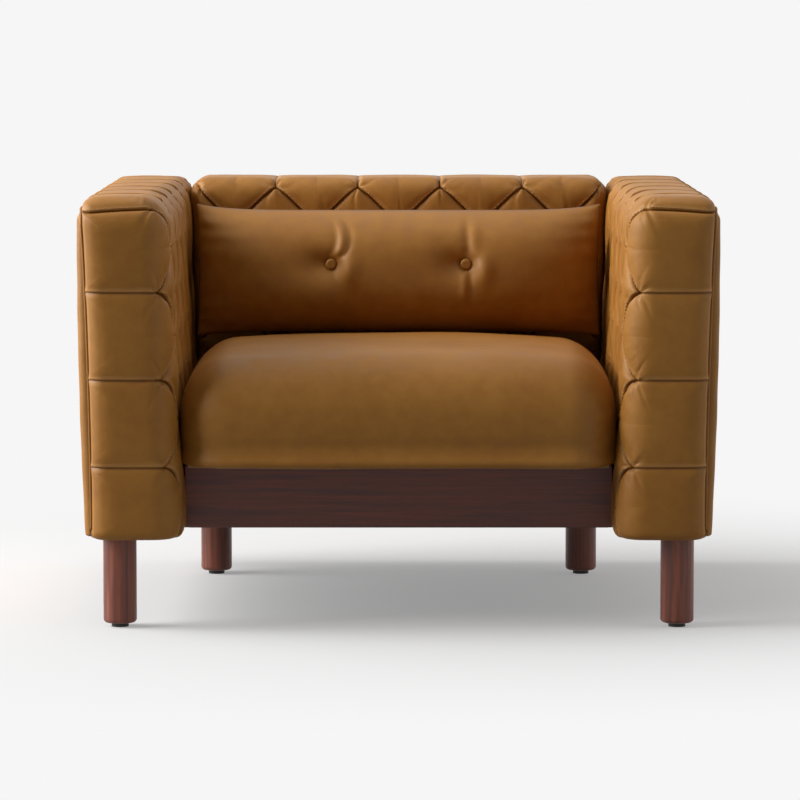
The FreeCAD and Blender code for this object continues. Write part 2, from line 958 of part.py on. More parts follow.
def seat_section(share, inset):
    """Outline of the seat cushion across one station, from its middle (0) to its side (1)."""
    x = share * (seat_half - inset)
    fall = 1 - math.sqrt(1 - share**seat_crown_power)
    retreat = seat_corner_retreat * (1 - math.sqrt(1 - share**seat_corner_power))
    top = seat_crown - seat_side_drop * fall - inset
    bottom = seat_bottom + inset
    foot_y = front_y + seat_front_depth + retreat + inset
    rear = front_y + seat_rear_depth - retreat * seat_rear_retreat_share - inset
    if share * seat_half > seat_foot_half:
        bottom += seat_side_tuck
        rear -= seat_bulge
        foot_y += seat_bulge
    height = top - bottom
    front_round = min(seat_shoulder_round, height * seat_round_limit_share)
    rear_round = min(seat_rear_round, height * seat_round_limit_share)
    face = foot_y - seat_bulge
    shoulder_top = V(x, face + front_round, top - seat_shoulder_drop)
    shoulder_foot = V(x, face, shoulder_top.z - front_round)
    shoulder_core = V(x, shoulder_top.y, shoulder_foot.z)
    rear_top = V(x, rear - rear_round, top - seat_rear_drop)
    rear_foot = V(x, rear, rear_top.z - rear_round)
    rear_core = V(x, rear_top.y, rear_foot.z)
    foot = V(x, foot_y, bottom)
    belly = V(x, face, bottom + (shoulder_foot.z - bottom) * seat_belly_share)
    heel = V(x, rear, bottom)
    return Part.Wire(
        [
            arc(foot, belly, shoulder_foot),
            quarter(shoulder_foot, shoulder_top, shoulder_core),
            arc(shoulder_top, V(x, front_y + seat_crown_depth, top), rear_top),
            quarter(rear_top, rear_foot, rear_core),
            line(rear_foot, heel),
            line(heel, foot),
        ]
    )


def zip_tape(grow):
    """Cloth tape of the zip, let into the back face of the seat cushion."""
    y = front_y + seat_rear_depth
    end = zip_length / 2 + grow
    edge = zip_width / 2 + grow
    return block(-end, end, y - zip_thickness, y, zip_height - edge, zip_height + edge)


def seat_zip():
    """Zip of the seat cushion: its tape, its row of teeth and its slider."""
    y = front_y + seat_rear_depth
    teeth = block(
        -zip_length / 2,
        zip_length / 2,
        y,
        y + teeth_thickness,
        zip_height - teeth_width / 2,
        zip_height + teeth_width / 2,
    )
    end = zip_length / 2
    slider = block(
        end - slider_length,
        end,
        y,
        y + slider_thickness,
        zip_height - slider_width / 2,
        zip_height + slider_width / 2,
    )
    return zip_tape(0).fuse([teeth, slider]).removeSplitter()


def build_seat_cushion():
    """Leather cover, foam core and zip of the seat cushion by name."""
    cover = both_halves(seat_section, seat_station_shares, 0)
    cover = cover.cut(both_halves(seat_section, seat_station_shares, seat_skin))
    return {
        "seat_cushion_cover": cover.cut(zip_tape(pin_clearance)),
        "seat_cushion_core": both_halves(seat_section, seat_station_shares, seat_skin + foam_gap),
        "seat_cushion_zip": seat_zip(),
    }


pillow_foot = seat_top_at(pillow_seam_depth - pillow_lean) + pillow_settle
pillow_top = pillow_foot + pillow_height
pillow_half = crown_half(pillow_foot) - pillow_side_room
button_height = pillow_top - button_drop


def pillow_section(share, inset):
    """Outline of the back cushion across one station: two bowed faces between two seams."""
    x = share * (pillow_half - inset)
    swell = math.sqrt(1 - (pillow_end_share * share) ** pillow_swell_power)
    ear = share**pillow_ear_power
    thin = pillow_end_half_thickness
    front_half = thin + (pillow_front_bulge - thin) * swell - inset
    rear_half = thin + (pillow_rear_bulge - thin) * swell - inset
    foot = pillow_foot - pillow_foot_ear * ear + inset
    top = pillow_top + pillow_ear * ear - inset
    middle = (foot + top) / 2
    flat = (top - foot) * pillow_flat_share * swell
    seam_y = front_y + pillow_seam_depth
    low_y = seam_y - pillow_lean / 2
    high_y = seam_y + pillow_lean / 2
    low_front = V(x, low_y - pillow_seam_half, foot)
    low_rear = V(x, low_y + pillow_seam_half, foot)
    high_front = V(x, high_y - pillow_seam_half, top)
    high_rear = V(x, high_y + pillow_seam_half, top)
    front_low = V(x, seam_y - front_half, middle - flat)
    front_high = V(x, seam_y - front_half, middle + flat)
    rear_low = V(x, seam_y + rear_half, middle - flat)
    rear_high = V(x, seam_y + rear_half, middle + flat)

    def bulge(seam, face):
        return quarter(seam, face, V(x, seam.y, face.z))

    return Part.Wire(
        [
            line(low_front, low_rear),
            bulge(low_rear, rear_low),
            line(rear_low, rear_high),
            bulge(high_rear, rear_high),
            line(high_rear, high_front),
            bulge(high_front, front_high),
            line(front_high, front_low),
            bulge(low_front, front_low),
        ]
    )


def button_seats():
    """Place and outward direction of each button on the front and rear of the back cushion."""
    share = button_spacing / 2 / pillow_half
    swell = math.sqrt(1 - (pillow_end_share * share) ** pillow_swell_power)
    thin = pillow_end_half_thickness
    seam_y = front_y + pillow_seam_depth
    front = seam_y - thin - (pillow_front_bulge - thin) * swell
    rear = seam_y + thin + (pillow_rear_bulge - thin) * swell
    seats = []
    for sense in (-1, 1):
        x = sense * button_spacing / 2
        seats.append((V(x, front, button_height), V(0, -1, 0)))
        seats.append((V(x, rear, button_height), V(0, 1, 0)))
    return seats


def dimple(face, outward, grow):
    """Dimple that a button pulls into the cushion, widened and deepened by a skin."""
    flat = button_radius + rest_gap + grow
    rim = V(dimple_radius + grow, 0, seam_lift)
    head = V(0, 0, seam_head)
    deep = V(flat, 0, -dimple_depth - grow)
    bow = V(0, 0, (rim - deep).Length * dimple_bow_share)
    outline = Part.Wire(
        [
            line(head, head + V(rim.x, 0, 0)),
            line(head + V(rim.x, 0, 0), rim),
            arc(rim, (rim + deep) * (1 / 2) + bow, deep),
            line(deep, V(0, 0, deep.z)),
            line(V(0, 0, deep.z), head),
        ]
    )
    bowl = Part.Face(outline).revolve(V(0, 0, 0), V(0, 0, 1), 360)
    bowl.Placement = FreeCAD.Placement(face, FreeCAD.Rotation(V(0, 0, 1), outward))
    return bowl


def button(face, outward):
    """Leather-covered button at the bottom of a dimple."""
    seat = face - outward * dimple_depth
    body = Part.makeCylinder(button_radius, button_rim + button_crown, seat, outward)
    head_y = (seat + outward * (button_rim + button_crown)).y
    return rounded(body, button_crown, lambda edge: lies(edge, y=head_y))


def build_back_cushion():
    """Leather cover, foam core, buttons and twine of the back cushion by name."""
    seats = button_seats()

    def form(inset):
        solid = both_halves(pillow_section, pillow_station_shares, inset)
        return solid.cut([dimple(face, outward, inset) for face, outward in seats])

    twines = []
    rooms = []
    for front, rear in zip(seats[::2], seats[1::2]):
        start = front[0] - front[1] * dimple_depth
        end = rear[0] - rear[1] * dimple_depth
        twines.append(rod(start, end, twine_radius))
        rooms.append(rod(start, end, twine_radius + twine_clearance))
    cover = form(0).cut([form(pillow_skin)] + rooms)
    return {
        "back_cushion_cover": cover,
        "back_cushion_core": form(pillow_skin + foam_gap).cut(rooms),
        "back_cushion_front_buttons": Part.makeCompound([button(*seat) for seat in seats[::2]]),
        "back_cushion_rear_buttons": Part.makeCompound([button(*seat) for seat in seats[1::2]]),
        "button_twine": Part.makeCompound(twines),
    }


# Legs


def leg(x, y, top):
    """Turned leg with a rounded foot, bored for its hanger bolt and its glide."""
    body = Part.makeCylinder(leg_radius, top - glide_height, V(x, y, glide_height))
    body = rounded(body, leg_edge_round, lambda edge: lies(edge, z=glide_height))
    screw = Part.makeCylinder(
        hanger_radius + pin_clearance, hanger_in_leg + cut_overrun, V(x, y, top - hanger_in_leg)
    )
    pin = Part.makeCylinder(
        glide_pin_radius + pin_clearance, glide_pin_length, V(x, y, glide_height)
    )
    return body.cut([screw, pin])


def glide(x, y):
    """Plastic glide with a pin that is driven up into the leg."""
    pad = Part.makeCylinder(glide_radius, glide_height, V(x, y, 0))
    pin = Part.makeCylinder(
        glide_pin_radius, glide_height + glide_pin_length - rest_gap, V(x, y, 0)
    )
    return pad.fuse(pin).removeSplitter()


def hanger_bolt(x, y, top):
    """Double-ended bolt between a leg and its insert."""
    start = V(x, y, top - hanger_in_leg + rest_gap)
    return rod(start, V(x, y, top + hanger_in_rail), hanger_radius)


def leg_insert(x, y, top):
    """Threaded insert in the timber over a leg."""
    sleeve = Part.makeCylinder(insert_radius, insert_length, V(x, y, top))
    bore = Part.makeCylinder(hanger_radius + pin_clearance, insert_length, V(x, y, top))
    return sleeve.cut(bore)


def bolt(head_start, along, shank):
    """Bolt with a round head and a plain shank, drawn from the head's outer face inwards."""
    head = Part.makeCylinder(bolt_head_radius, bolt_head_height, head_start, along)
    body = Part.makeCylinder(bolt_radius, bolt_head_height + shank, head_start, along)
    return head.fuse(body).removeSplitter()


def bolt_room(head_start, along, shank):
    """Hole that a bolt fills, with its clearance."""
    head = Part.makeCylinder(
        bolt_head_radius + pin_clearance, bolt_head_height, head_start, along
    )
    body = Part.makeCylinder(
        bolt_radius + pin_clearance, bolt_head_height + shank + pin_clearance, head_start, along
    )
    return head.fuse(body)


def bolt_places():
    """Head place, direction and shank length of every frame bolt."""
    through_arm = side_rail_thickness + frame_inner_half - plinth_half + bolt_grip
    through_post = frame_outer_half - frame_inner_half + bolt_grip
    through_rail = rail_thickness + bolt_grip
    head_half = plinth_inner_half - bolt_head_height
    places = []
    arm_ys = (packing_y0 + arm_bolt_end_inset, packing_y1 - arm_bolt_end_inset)
    low = arm_underside + leather_wrap + bottom_rail_height + back_bolt_rise
    high = frame_top - top_rail_height - back_bolt_drop
    post_x = frame_outer_half + bolt_head_height
    post_y = panel_y - post_depth / 2
    rail_bolt_y = back_frame_y - rail_thickness - bolt_head_height
    for sense in (-1, 1):
        for y in arm_ys:
            start = V(sense * head_half, y, packing_foot + arm_bolt_rise)
            places.append((start, V(sense, 0, 0), through_arm))
        for height in (low, high):
            start = V(sense * post_x, post_y, height)
            places.append((start, V(-sense, 0, 0), through_post))
        x = sense * (plinth_half - plinth_bolt_inset)
        start = V(x, rail_bolt_y, plinth_underside + plinth_bolt_rise)
        places.append((start, V(0, 1, 0), through_rail))
    return places


def leg_places():
    """Centre and top of each leg by name, and the face its insert starts at."""
    wrap = arm_underside + leather_wrap
    return {
        "front_left_leg": (-front_leg_half, front_leg_y, arm_underside, wrap),
        "front_right_leg": (front_leg_half, front_leg_y, arm_underside, wrap),
        "rear_left_leg": (-rear_leg_half, rear_leg_y, plinth_underside, plinth_underside),
        "rear_right_leg": (rear_leg_half, rear_leg_y, plinth_underside, plinth_underside),
    }


def bored_nodes(nodes):
    """Names of the pieces that bolts, inserts and hanger bolts are bored into."""
    endings = (
        "side_rail",
        "packing_rail",
        "bottom_rail",
        "arm_posts",
        "outer_board",
        "arm_foam",
        "arm_tufted_cover",
        "rear_rail",
        "rear_leg_rail",
        "back_top_rail",
    )
    return [name for name in nodes if name.endswith(endings)]


def build_chair():
    """Every sub-part of the chair by node name."""
    nodes = {}
    arm = arm_timber()
    arm["arm_packing_rail"] = packing_rail()
    arm["arm_foam"] = arm_foam()
    arm["arm_tufted_cover"] = arm_cover()
    arm["arm_outside_panel"] = outside_panel()
    arm["arm_welt"] = arm_welt(0)
    for name, shape in arm.items():
        nodes["right_" + name] = shape
        nodes["left_" + name] = mirrored(shape)
    nodes.update(build_back())
    nodes["outside_back_panel"] = outside_back_panel().cut(rear_welt(welt_clearance))
    nodes["outside_back_welt"] = rear_welt(0)
    nodes.update(build_plinth())
    nodes.update(build_deck())
    nodes["dust_cover"] = dust_cover()
    nodes.update(build_seat_cushion())
    nodes.update(build_back_cushion())

    places = bolt_places()
    nodes["frame_bolts"] = Part.makeCompound([bolt(*place) for place in places])
    rooms = [bolt_room(*place) for place in places]
    legs = leg_places()
    screws = []
    inserts = []
    glides = []
    for name, (x, y, top, seat) in legs.items():
        nodes[name] = leg(x, y, top)
        screws.append(hanger_bolt(x, y, top))
        inserts.append(leg_insert(x, y, seat))
        glides.append(glide(x, y))
        radius = insert_radius + pin_clearance
        rooms.append(Part.makeCylinder(radius, insert_length, V(x, y, seat)))
        radius = hanger_radius + pin_clearance
        rooms.append(Part.makeCylinder(radius, leather_wrap + cut_overrun, V(x, y, top)))
    nodes["leg_hanger_bolts"] = Part.makeCompound(screws)
    nodes["leg_inserts"] = Part.makeCompound(inserts)
    nodes["leg_glides"] = Part.makeCompound(glides)
    for name in bored_nodes(nodes):
        nodes[name] = nodes[name].cut(rooms)
    return nodes


def main():
    """Write one STEP file per sub-part."""
    os.makedirs("parts", exist_ok=True)
    for name, shape in build_chair().items():
        shape.exportStep(os.path.join("parts", name + ".step"))


main()
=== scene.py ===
"""Looks of a tufted leather lounge chair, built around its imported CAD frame.

Lengths in this file are millimetres in the row frame (X to the right, Y to the back, Z up) and turn
into metres when a mesh is made. Every padded form is a distance function; leather panels are laid on
it seam by seam, so that each seam is a real edge of the mesh.
"""

import logging
import math
from dataclasses import dataclass, field, replace
from enum import Enum
from typing import Callable, Protocol

import bpy
import numpy as np
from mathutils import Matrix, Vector


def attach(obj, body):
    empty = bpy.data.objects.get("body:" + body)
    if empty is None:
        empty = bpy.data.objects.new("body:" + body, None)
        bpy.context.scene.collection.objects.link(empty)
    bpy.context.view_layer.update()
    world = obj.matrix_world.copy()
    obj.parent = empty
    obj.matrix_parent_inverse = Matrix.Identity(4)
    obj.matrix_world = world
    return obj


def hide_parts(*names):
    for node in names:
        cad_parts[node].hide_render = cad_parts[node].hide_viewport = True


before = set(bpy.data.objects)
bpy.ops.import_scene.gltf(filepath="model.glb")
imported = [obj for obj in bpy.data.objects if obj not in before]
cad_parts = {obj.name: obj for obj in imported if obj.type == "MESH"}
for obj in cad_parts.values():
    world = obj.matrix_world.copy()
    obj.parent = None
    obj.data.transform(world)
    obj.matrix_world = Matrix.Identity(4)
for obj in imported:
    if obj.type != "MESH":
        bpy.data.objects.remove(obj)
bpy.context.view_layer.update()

Array = np.ndarray
Piece = bpy.types.Object
Tree = bpy.types.NodeTree
Socket = bpy.types.NodeSocket
Flat = tuple[float, float]
Key = Flat | str
MM = 0.001
log = logging.getLogger("chair")

# The arms' slabs: underside and height, half the room between them, half the width at their outer seams.
SLAB_FOOT, SLAB_RISE = 138.0, 518.0
ROOM_FOOT, ROOM_SPREAD = 326.6, 19.4
SEAM_FOOT, SEAM_SPREAD = 469.5, 14.0


# Shapes as distances


def soft_corner(sides: list[Array], radius: float | Array) -> Array:
    """Distance to the solid inside several faces whose common edges have one round.

    Each side is lifted by the radius, the lengths above zero are added as a vector, and the radius
    is taken off again.

    Args:
        sides: Signed distances to the faces, positive outside.
        radius: Radius of the round where the faces meet, one for all points or one each.

    Returns:
        The signed distance to the rounded solid.
    """
    lifted = np.stack(sides) + radius
    outside = np.linalg.norm(np.maximum(lifted, 0.0), axis=0)
    return outside + np.minimum(lifted.max(axis=0), 0.0) - radius


def unit(rows: Array) -> Array:
    """Rows brought to a length of one."""
    return rows / np.maximum(np.linalg.norm(rows, axis=1, keepdims=True), 1e-9)


def hump(gap: Array | float, width: float) -> Array:
    """A smooth hump that is 1 where the gap is zero: e to the minus square of the gap over the width."""
    return np.exp(-((gap / width) ** 2))


def resampled(points: Array, pitch: float) -> Array:
    """Points at an even pitch along a broken line.

    Args:
        points: The line's corners, one per row.
        pitch: Wanted spacing.

    Returns:
        The line with even spacing, its first and last points kept.
    """
    steps = np.linalg.norm(np.diff(points, axis=0), axis=1)
    along = np.concatenate([[0.0], np.cumsum(steps)])
    count = max(2, int(math.ceil(along[-1] / pitch)) + 1)
    places = np.linspace(0.0, along[-1], count)
    return np.stack([np.interp(places, along, column) for column in points.T], axis=1)


def nearest(points: Array, line: Array) -> tuple[Array, Array]:
    """Distance from points to a broken line, and where on it the nearest point is.

    Each point is dropped square onto every piece of the line, and the shortest drop wins.

    Args:
        points: Points, one per row.
        line: The line's corners, one per row.

    Returns:
        The distances, and the places as an index along the line with a fraction.
    """
    start, step = line[:-1], np.diff(line, axis=0)
    reach = points[:, None, :] - start[None]
    share = (reach * step[None]).sum(2) / np.maximum((step * step).sum(1), 1e-12)[None]
    share = np.clip(share, 0.0, 1.0)
    gaps = np.linalg.norm(reach - share[:, :, None] * step[None], axis=2)
    best = gaps.argmin(axis=1)
    rows = np.arange(len(points))
    return gaps[rows, best], best + share[rows, best]


class Solid(Protocol):
    """A form that is given by its distance function."""

    def distance(self, points: Array) -> Array:
        """Signed distance from points to the form, positive outside."""


class PaddedForm(Solid, Protocol):
    """A form that leather is sewn over, with its own bending of flat coordinates, and its axis."""

    girth_axis: tuple[float, float, float]

    def bend(self, flat: Array) -> Array:
        """Points of the form for flat coordinates (girth, rise)."""


@dataclass(frozen=True)
class Inset:
    """Another form moved inwards by one depth all round."""

    form: Solid
    depth: float

    def distance(self, points: Array) -> Array:
        """Signed distance to the smaller form."""
        return self.form.distance(points) + self.depth


def outward(form: Solid, points: Array) -> Array:
    """Unit directions away from a form, from differences of its distance over a tenth of a millimetre."""
    slope = np.zeros_like(points)
    for axis in range(3):
        shift = np.zeros(3)
        shift[axis] = 0.05
        slope[:, axis] = form.distance(points + shift) - form.distance(points - shift)
    return unit(slope)


def settled(form: Solid, points: Array) -> Array:
    """Points moved onto a form's surface: three steps of its distance along its outward directions."""
    for _ in range(3):
        points = points - form.distance(points)[:, None] * outward(form, points)
    return points


def crown_half(z: Array | float) -> Array | float:
    """Half the room between the arms at a height: it grows evenly from the underside up."""
    return ROOM_FOOT + ROOM_SPREAD * (z - SLAB_FOOT) / SLAB_RISE


def welt_half(z: Array | float) -> Array | float:
    """Half the width at the outer seams of the arms: it grows with the square of the height."""
    return SEAM_FOOT + SEAM_SPREAD * ((z - SLAB_FOOT) / SLAB_RISE) ** 2


def eased(share: Array | float) -> Array | float:
    """A share held between 0 and 1 that starts and ends without a kink."""
    held = np.clip(share, 0.0, 1.0)
    return held * held * (3.0 - 2.0 * held)


def near(value: float, level: float) -> bool:
    """Whether two flat coordinates are the same, to a twentieth of a millimetre."""
    return abs(value - level) < 0.05


def ripple(points: Array) -> Array:
    """Slow unevenness of stuffed leather, up to about half a millimetre.

    It is the product of three waves along X, Y and Z plus the product of two shorter, crossed ones.
    """
    x, y, z = points.T
    slow = np.sin(x / 31.0 + 0.4) * np.sin(y / 43.0 + 1.1) * np.cos(z / 37.0)
    middle = np.sin((x + y) / 17.0) * np.sin((z - 0.6 * y) / 19.0 + 0.8)
    return 0.45 * slow + 0.25 * middle


# Meshes


def placed(name: str, data: bpy.types.ID) -> Piece:
    """Makes an object of a mesh, a lamp or a camera and puts it in the scene."""
    made = bpy.data.objects.new(name, data)
    bpy.context.scene.collection.objects.link(made)
    return made


@dataclass
class Skin:
    """Points, faces and surface marks of one mesh while it is put together."""

    points: list[Array] = field(default_factory=list)
    faces: list[Array] = field(default_factory=list)
    crease: list[Array] = field(default_factory=list)
    tone: list[Array] = field(default_factory=list)
    count: int = 0

    def add(self, points: Array, faces: list[Array], crease: Array | float, tone: float) -> None:
        """Adds a patch.

        Args:
            points: The patch's points.
            faces: Arrays of faces that count from the patch's first point.
            crease: Weight of the painted seam shade, 1 in a seam and 0 far from it; below 0 it weighs the
                painted highlight along a folded edge.
            tone: The patch's own shade, from -1 to 1.
        """
        self.points.append(points)
        self.faces.extend(face + self.count for face in faces)
        self.crease.append(np.broadcast_to(crease, (len(points),)).astype(float))
        self.tone.append(np.full(len(points), tone))
        self.count += len(points)

    def build(self, name: str, mirror: bool = False, weld: bool = True) -> Piece:
        """Makes the mesh object.

        Args:
            name: The object's name.
            mirror: Whether X is turned round, for the left side.
            weld: Whether points that fall together become one.

        Returns:
            The object, at the origin, with smooth faces.
        """
        points = np.concatenate(self.points)
        crease, tone = np.concatenate(self.crease), np.concatenate(self.tone)
        turn = np.arange(len(points))
        if weld:
            keys = np.round(points, 2)
            _, first, turn = np.unique(keys, axis=0, return_index=True, return_inverse=True)
            turn = turn.reshape(-1)
            points, crease, tone = points[first], crease[first], tone[first]
        if mirror:
            points = points * np.array([-1.0, 1.0, 1.0])
        faces = []
        for block in self.faces:
            block = turn[block]
            faces.extend((block[:, ::-1] if mirror else block).tolist())
        faces = [clean for face in faces if len(clean := list(dict.fromkeys(face))) > 2]
        mesh = bpy.data.meshes.new(name)
        mesh.from_pydata((points * MM).tolist(), [], faces)
        # The crease mark carries painted seam shade and lip highlight into the material.
        for label, values in (("crease", crease), ("tone", tone)):
            mark = mesh.attributes.new(label, "FLOAT", "POINT")
            mark.data.foreach_set("value", values.astype(np.float32))
        mesh.polygons.foreach_set("use_smooth", np.ones(len(mesh.polygons), bool))
        mesh.update()
        return placed(name, mesh)


def skinned(
    name: str,
    points: Array,
    faces: list[Array],
    crease: Array | float = 0.0,
    tone: float = 0.0,
    mirror: bool = False,
) -> Piece:
    """Makes a mesh object of one patch, from what Skin.add and Skin.build take."""
    skin = Skin()
    skin.add(points, faces, crease, tone)
    return skin.build(name, mirror)


def grid_faces(rows: int, columns: int, closed: bool = False) -> Array:
    """Quads between neighbouring points of a grid, row by row, with the columns closed on request."""
    across = np.arange(columns if closed else columns - 1)
    up = np.arange(rows - 1)[:, None]
    right = (across + 1) % columns
    quads = [up * columns + across, up * columns + right]
    quads += [(up + 1) * columns + right, (up + 1) * columns + across]
    return np.stack([np.broadcast_to(q, (rows - 1, len(across))).ravel() for q in quads], axis=1)


def turned_out(faces: list[Array], points: Array, away: Array) -> list[Array]:
    """Turns all faces round where the first array's faces look against the given directions."""
    corners = points[faces[0]]
    facing = np.cross(corners[:, 1] - corners[:, 0], corners[:, 2] - corners[:, 0])
    return [face[:, ::-1] for face in faces] if (facing * away).sum() < 0 else faces


def box_skin(
    form: Solid, low: Array, high: Array, counts: tuple[int, int, int], dense: float
) -> tuple[Array, list[Array]]:
    """Points of a box's six grids, closer together near its edges, settled on a form.

    Args:
        form: The form inside the box.
        low: The box's lowest corner.
        high: Its highest corner.
        counts: Cells along X, Y and Z.
        dense: From 0 for even cells to 1 for cells that crowd towards the edges.

    Returns:
        The points, and the faces of each grid.
    """
    lines = []
    for axis in range(3):
        even = np.linspace(-1.0, 1.0, counts[axis] + 1)
        share = (1 - dense) * even + dense * np.sin(even * math.pi / 2)
        lines.append(low[axis] + (share + 1.0) / 2.0 * (high[axis] - low[axis]))
    points, faces, count = [], [], 0
    for axis in range(3):
        first, second = [(1, 2), (2, 0), (0, 1)][axis]
        for end in (low, high):
            a, b = np.meshgrid(lines[first], lines[second], indexing="ij")
            patch = np.zeros((a.size, 3))
            patch[:, first], patch[:, second], patch[:, axis] = a.ravel(), b.ravel(), end[axis]
            quads = grid_faces(*a.shape) + count
            faces.append(quads if end is low else quads[:, ::-1])
            points.append(patch)
            count += len(patch)
    return settled(form, np.concatenate(points)), faces


def tube(name: str, path: Array, radius: float, mirror: bool = False) -> Piece:
    """A round cord: a circle of ten sides carried square along a path, a little uneven, its ends closed.

    Args:
        name: Name of the object.
        path: Points of its centreline.
        radius: Its radius.
        mirror: Whether X is turned round.

    Returns:
        The cord's object.
    """
    sides = 10
    along = unit(np.gradient(path, axis=0))
    side = np.cross(along, np.array([1.0, 0.02, 0.03]))
    weak = np.linalg.norm(side, axis=1) < 0.3
    side[weak] = np.cross(along[weak], np.array([0.0, 1.0, 0.1]))
    side = unit(side)
    flips = np.where((side[1:] * side[:-1]).sum(axis=1) < 0, -1.0, 1.0)
    side[1:] *= np.cumprod(flips)[:, None]
    up = np.cross(along, side)
    turn = np.linspace(0, 2 * math.pi, sides, endpoint=False)[None, :, None]
    steps = np.arange(len(path))
    uneven = radius * (1.0 + 0.05 * np.sin(steps * 1.9) * np.sin(steps * 0.37))
    rings = np.cos(turn) * side[:, None] + np.sin(turn) * up[:, None]
    points = (path[:, None] + uneven[:, None, None] * rings).reshape(-1, 3)
    quads = grid_faces(len(path), sides, closed=True)
    first = np.arange(sides)[None]
    last = first + sides * (len(path) - 1)
    centre = np.repeat((path[:-1] + path[1:]) / 2, sides, axis=0)
    faces = turned_out([quads, first[:, ::-1], last], points, points[quads].mean(axis=1) - centre)
    # A quarter of the painted seam shade darkens the whole cord, which sits in its seam's groove.
    return skinned(name, points, faces, 0.25, 0.3, mirror)


# Finishes


def linear(colour: str) -> tuple[float, float, float, float]:
    """Turns a colour from sRGB to linear light, by the standard curve that is straight near black."""
    parts = [int(colour[k : k + 2], 16) / 255 for k in (1, 3, 5)]
    flat = [c / 12.92 if c <= 0.04045 else ((c + 0.055) / 1.055) ** 2.4 for c in parts]
    return (*flat, 1.0)


def add_node(tree: Tree, kind: str, inputs: dict | None = None, **settings: object) -> bpy.types.Node:
    """Adds a node.

    Args:
        tree: The material's node tree.
        kind: The node's type, without ShaderNode in front.
        inputs: Sockets by name or number, each with a value or with the output that feeds it.
        settings: The node's own settings.

    Returns:
        The new node.
    """
    node = tree.nodes.new(f"ShaderNode{kind}")
    for name, value in settings.items():
        setattr(node, name, value)
    for key, value in (inputs or {}).items():
        if isinstance(value, Socket):
            tree.links.new(value, node.inputs[key])
        else:
            node.inputs[key].default_value = value
    return node


def seen_rays(tree: Tree) -> Socket:
    """Adds what is 1 on camera, glossy and transmission rays, and 0 on the rest."""
    path = add_node(tree, "LightPath")
    seen = path.outputs["Is Camera Ray"]
    for ray in ("Is Glossy Ray", "Is Transmission Ray"):
        seen = add_node(tree, "Math", {0: seen, 1: path.outputs[ray]}, operation="MAXIMUM").outputs[0]
    return seen


def set_ramp(node: bpy.types.Node, stops: list[tuple[float, str]]) -> None:
    """Gives a colour ramp its stops."""
    ramp = node.color_ramp
    while len(ramp.elements) < len(stops):
        ramp.elements.new(0.5)
    for element, (place, colour) in zip(ramp.elements, stops):
        element.position = place
        element.color = linear(colour)


def new_material(name: str) -> tuple[bpy.types.Material, Tree]:
    """Makes a material."""
    made = bpy.data.materials.new(name)
    made.use_nodes = True
    return made, made.node_tree


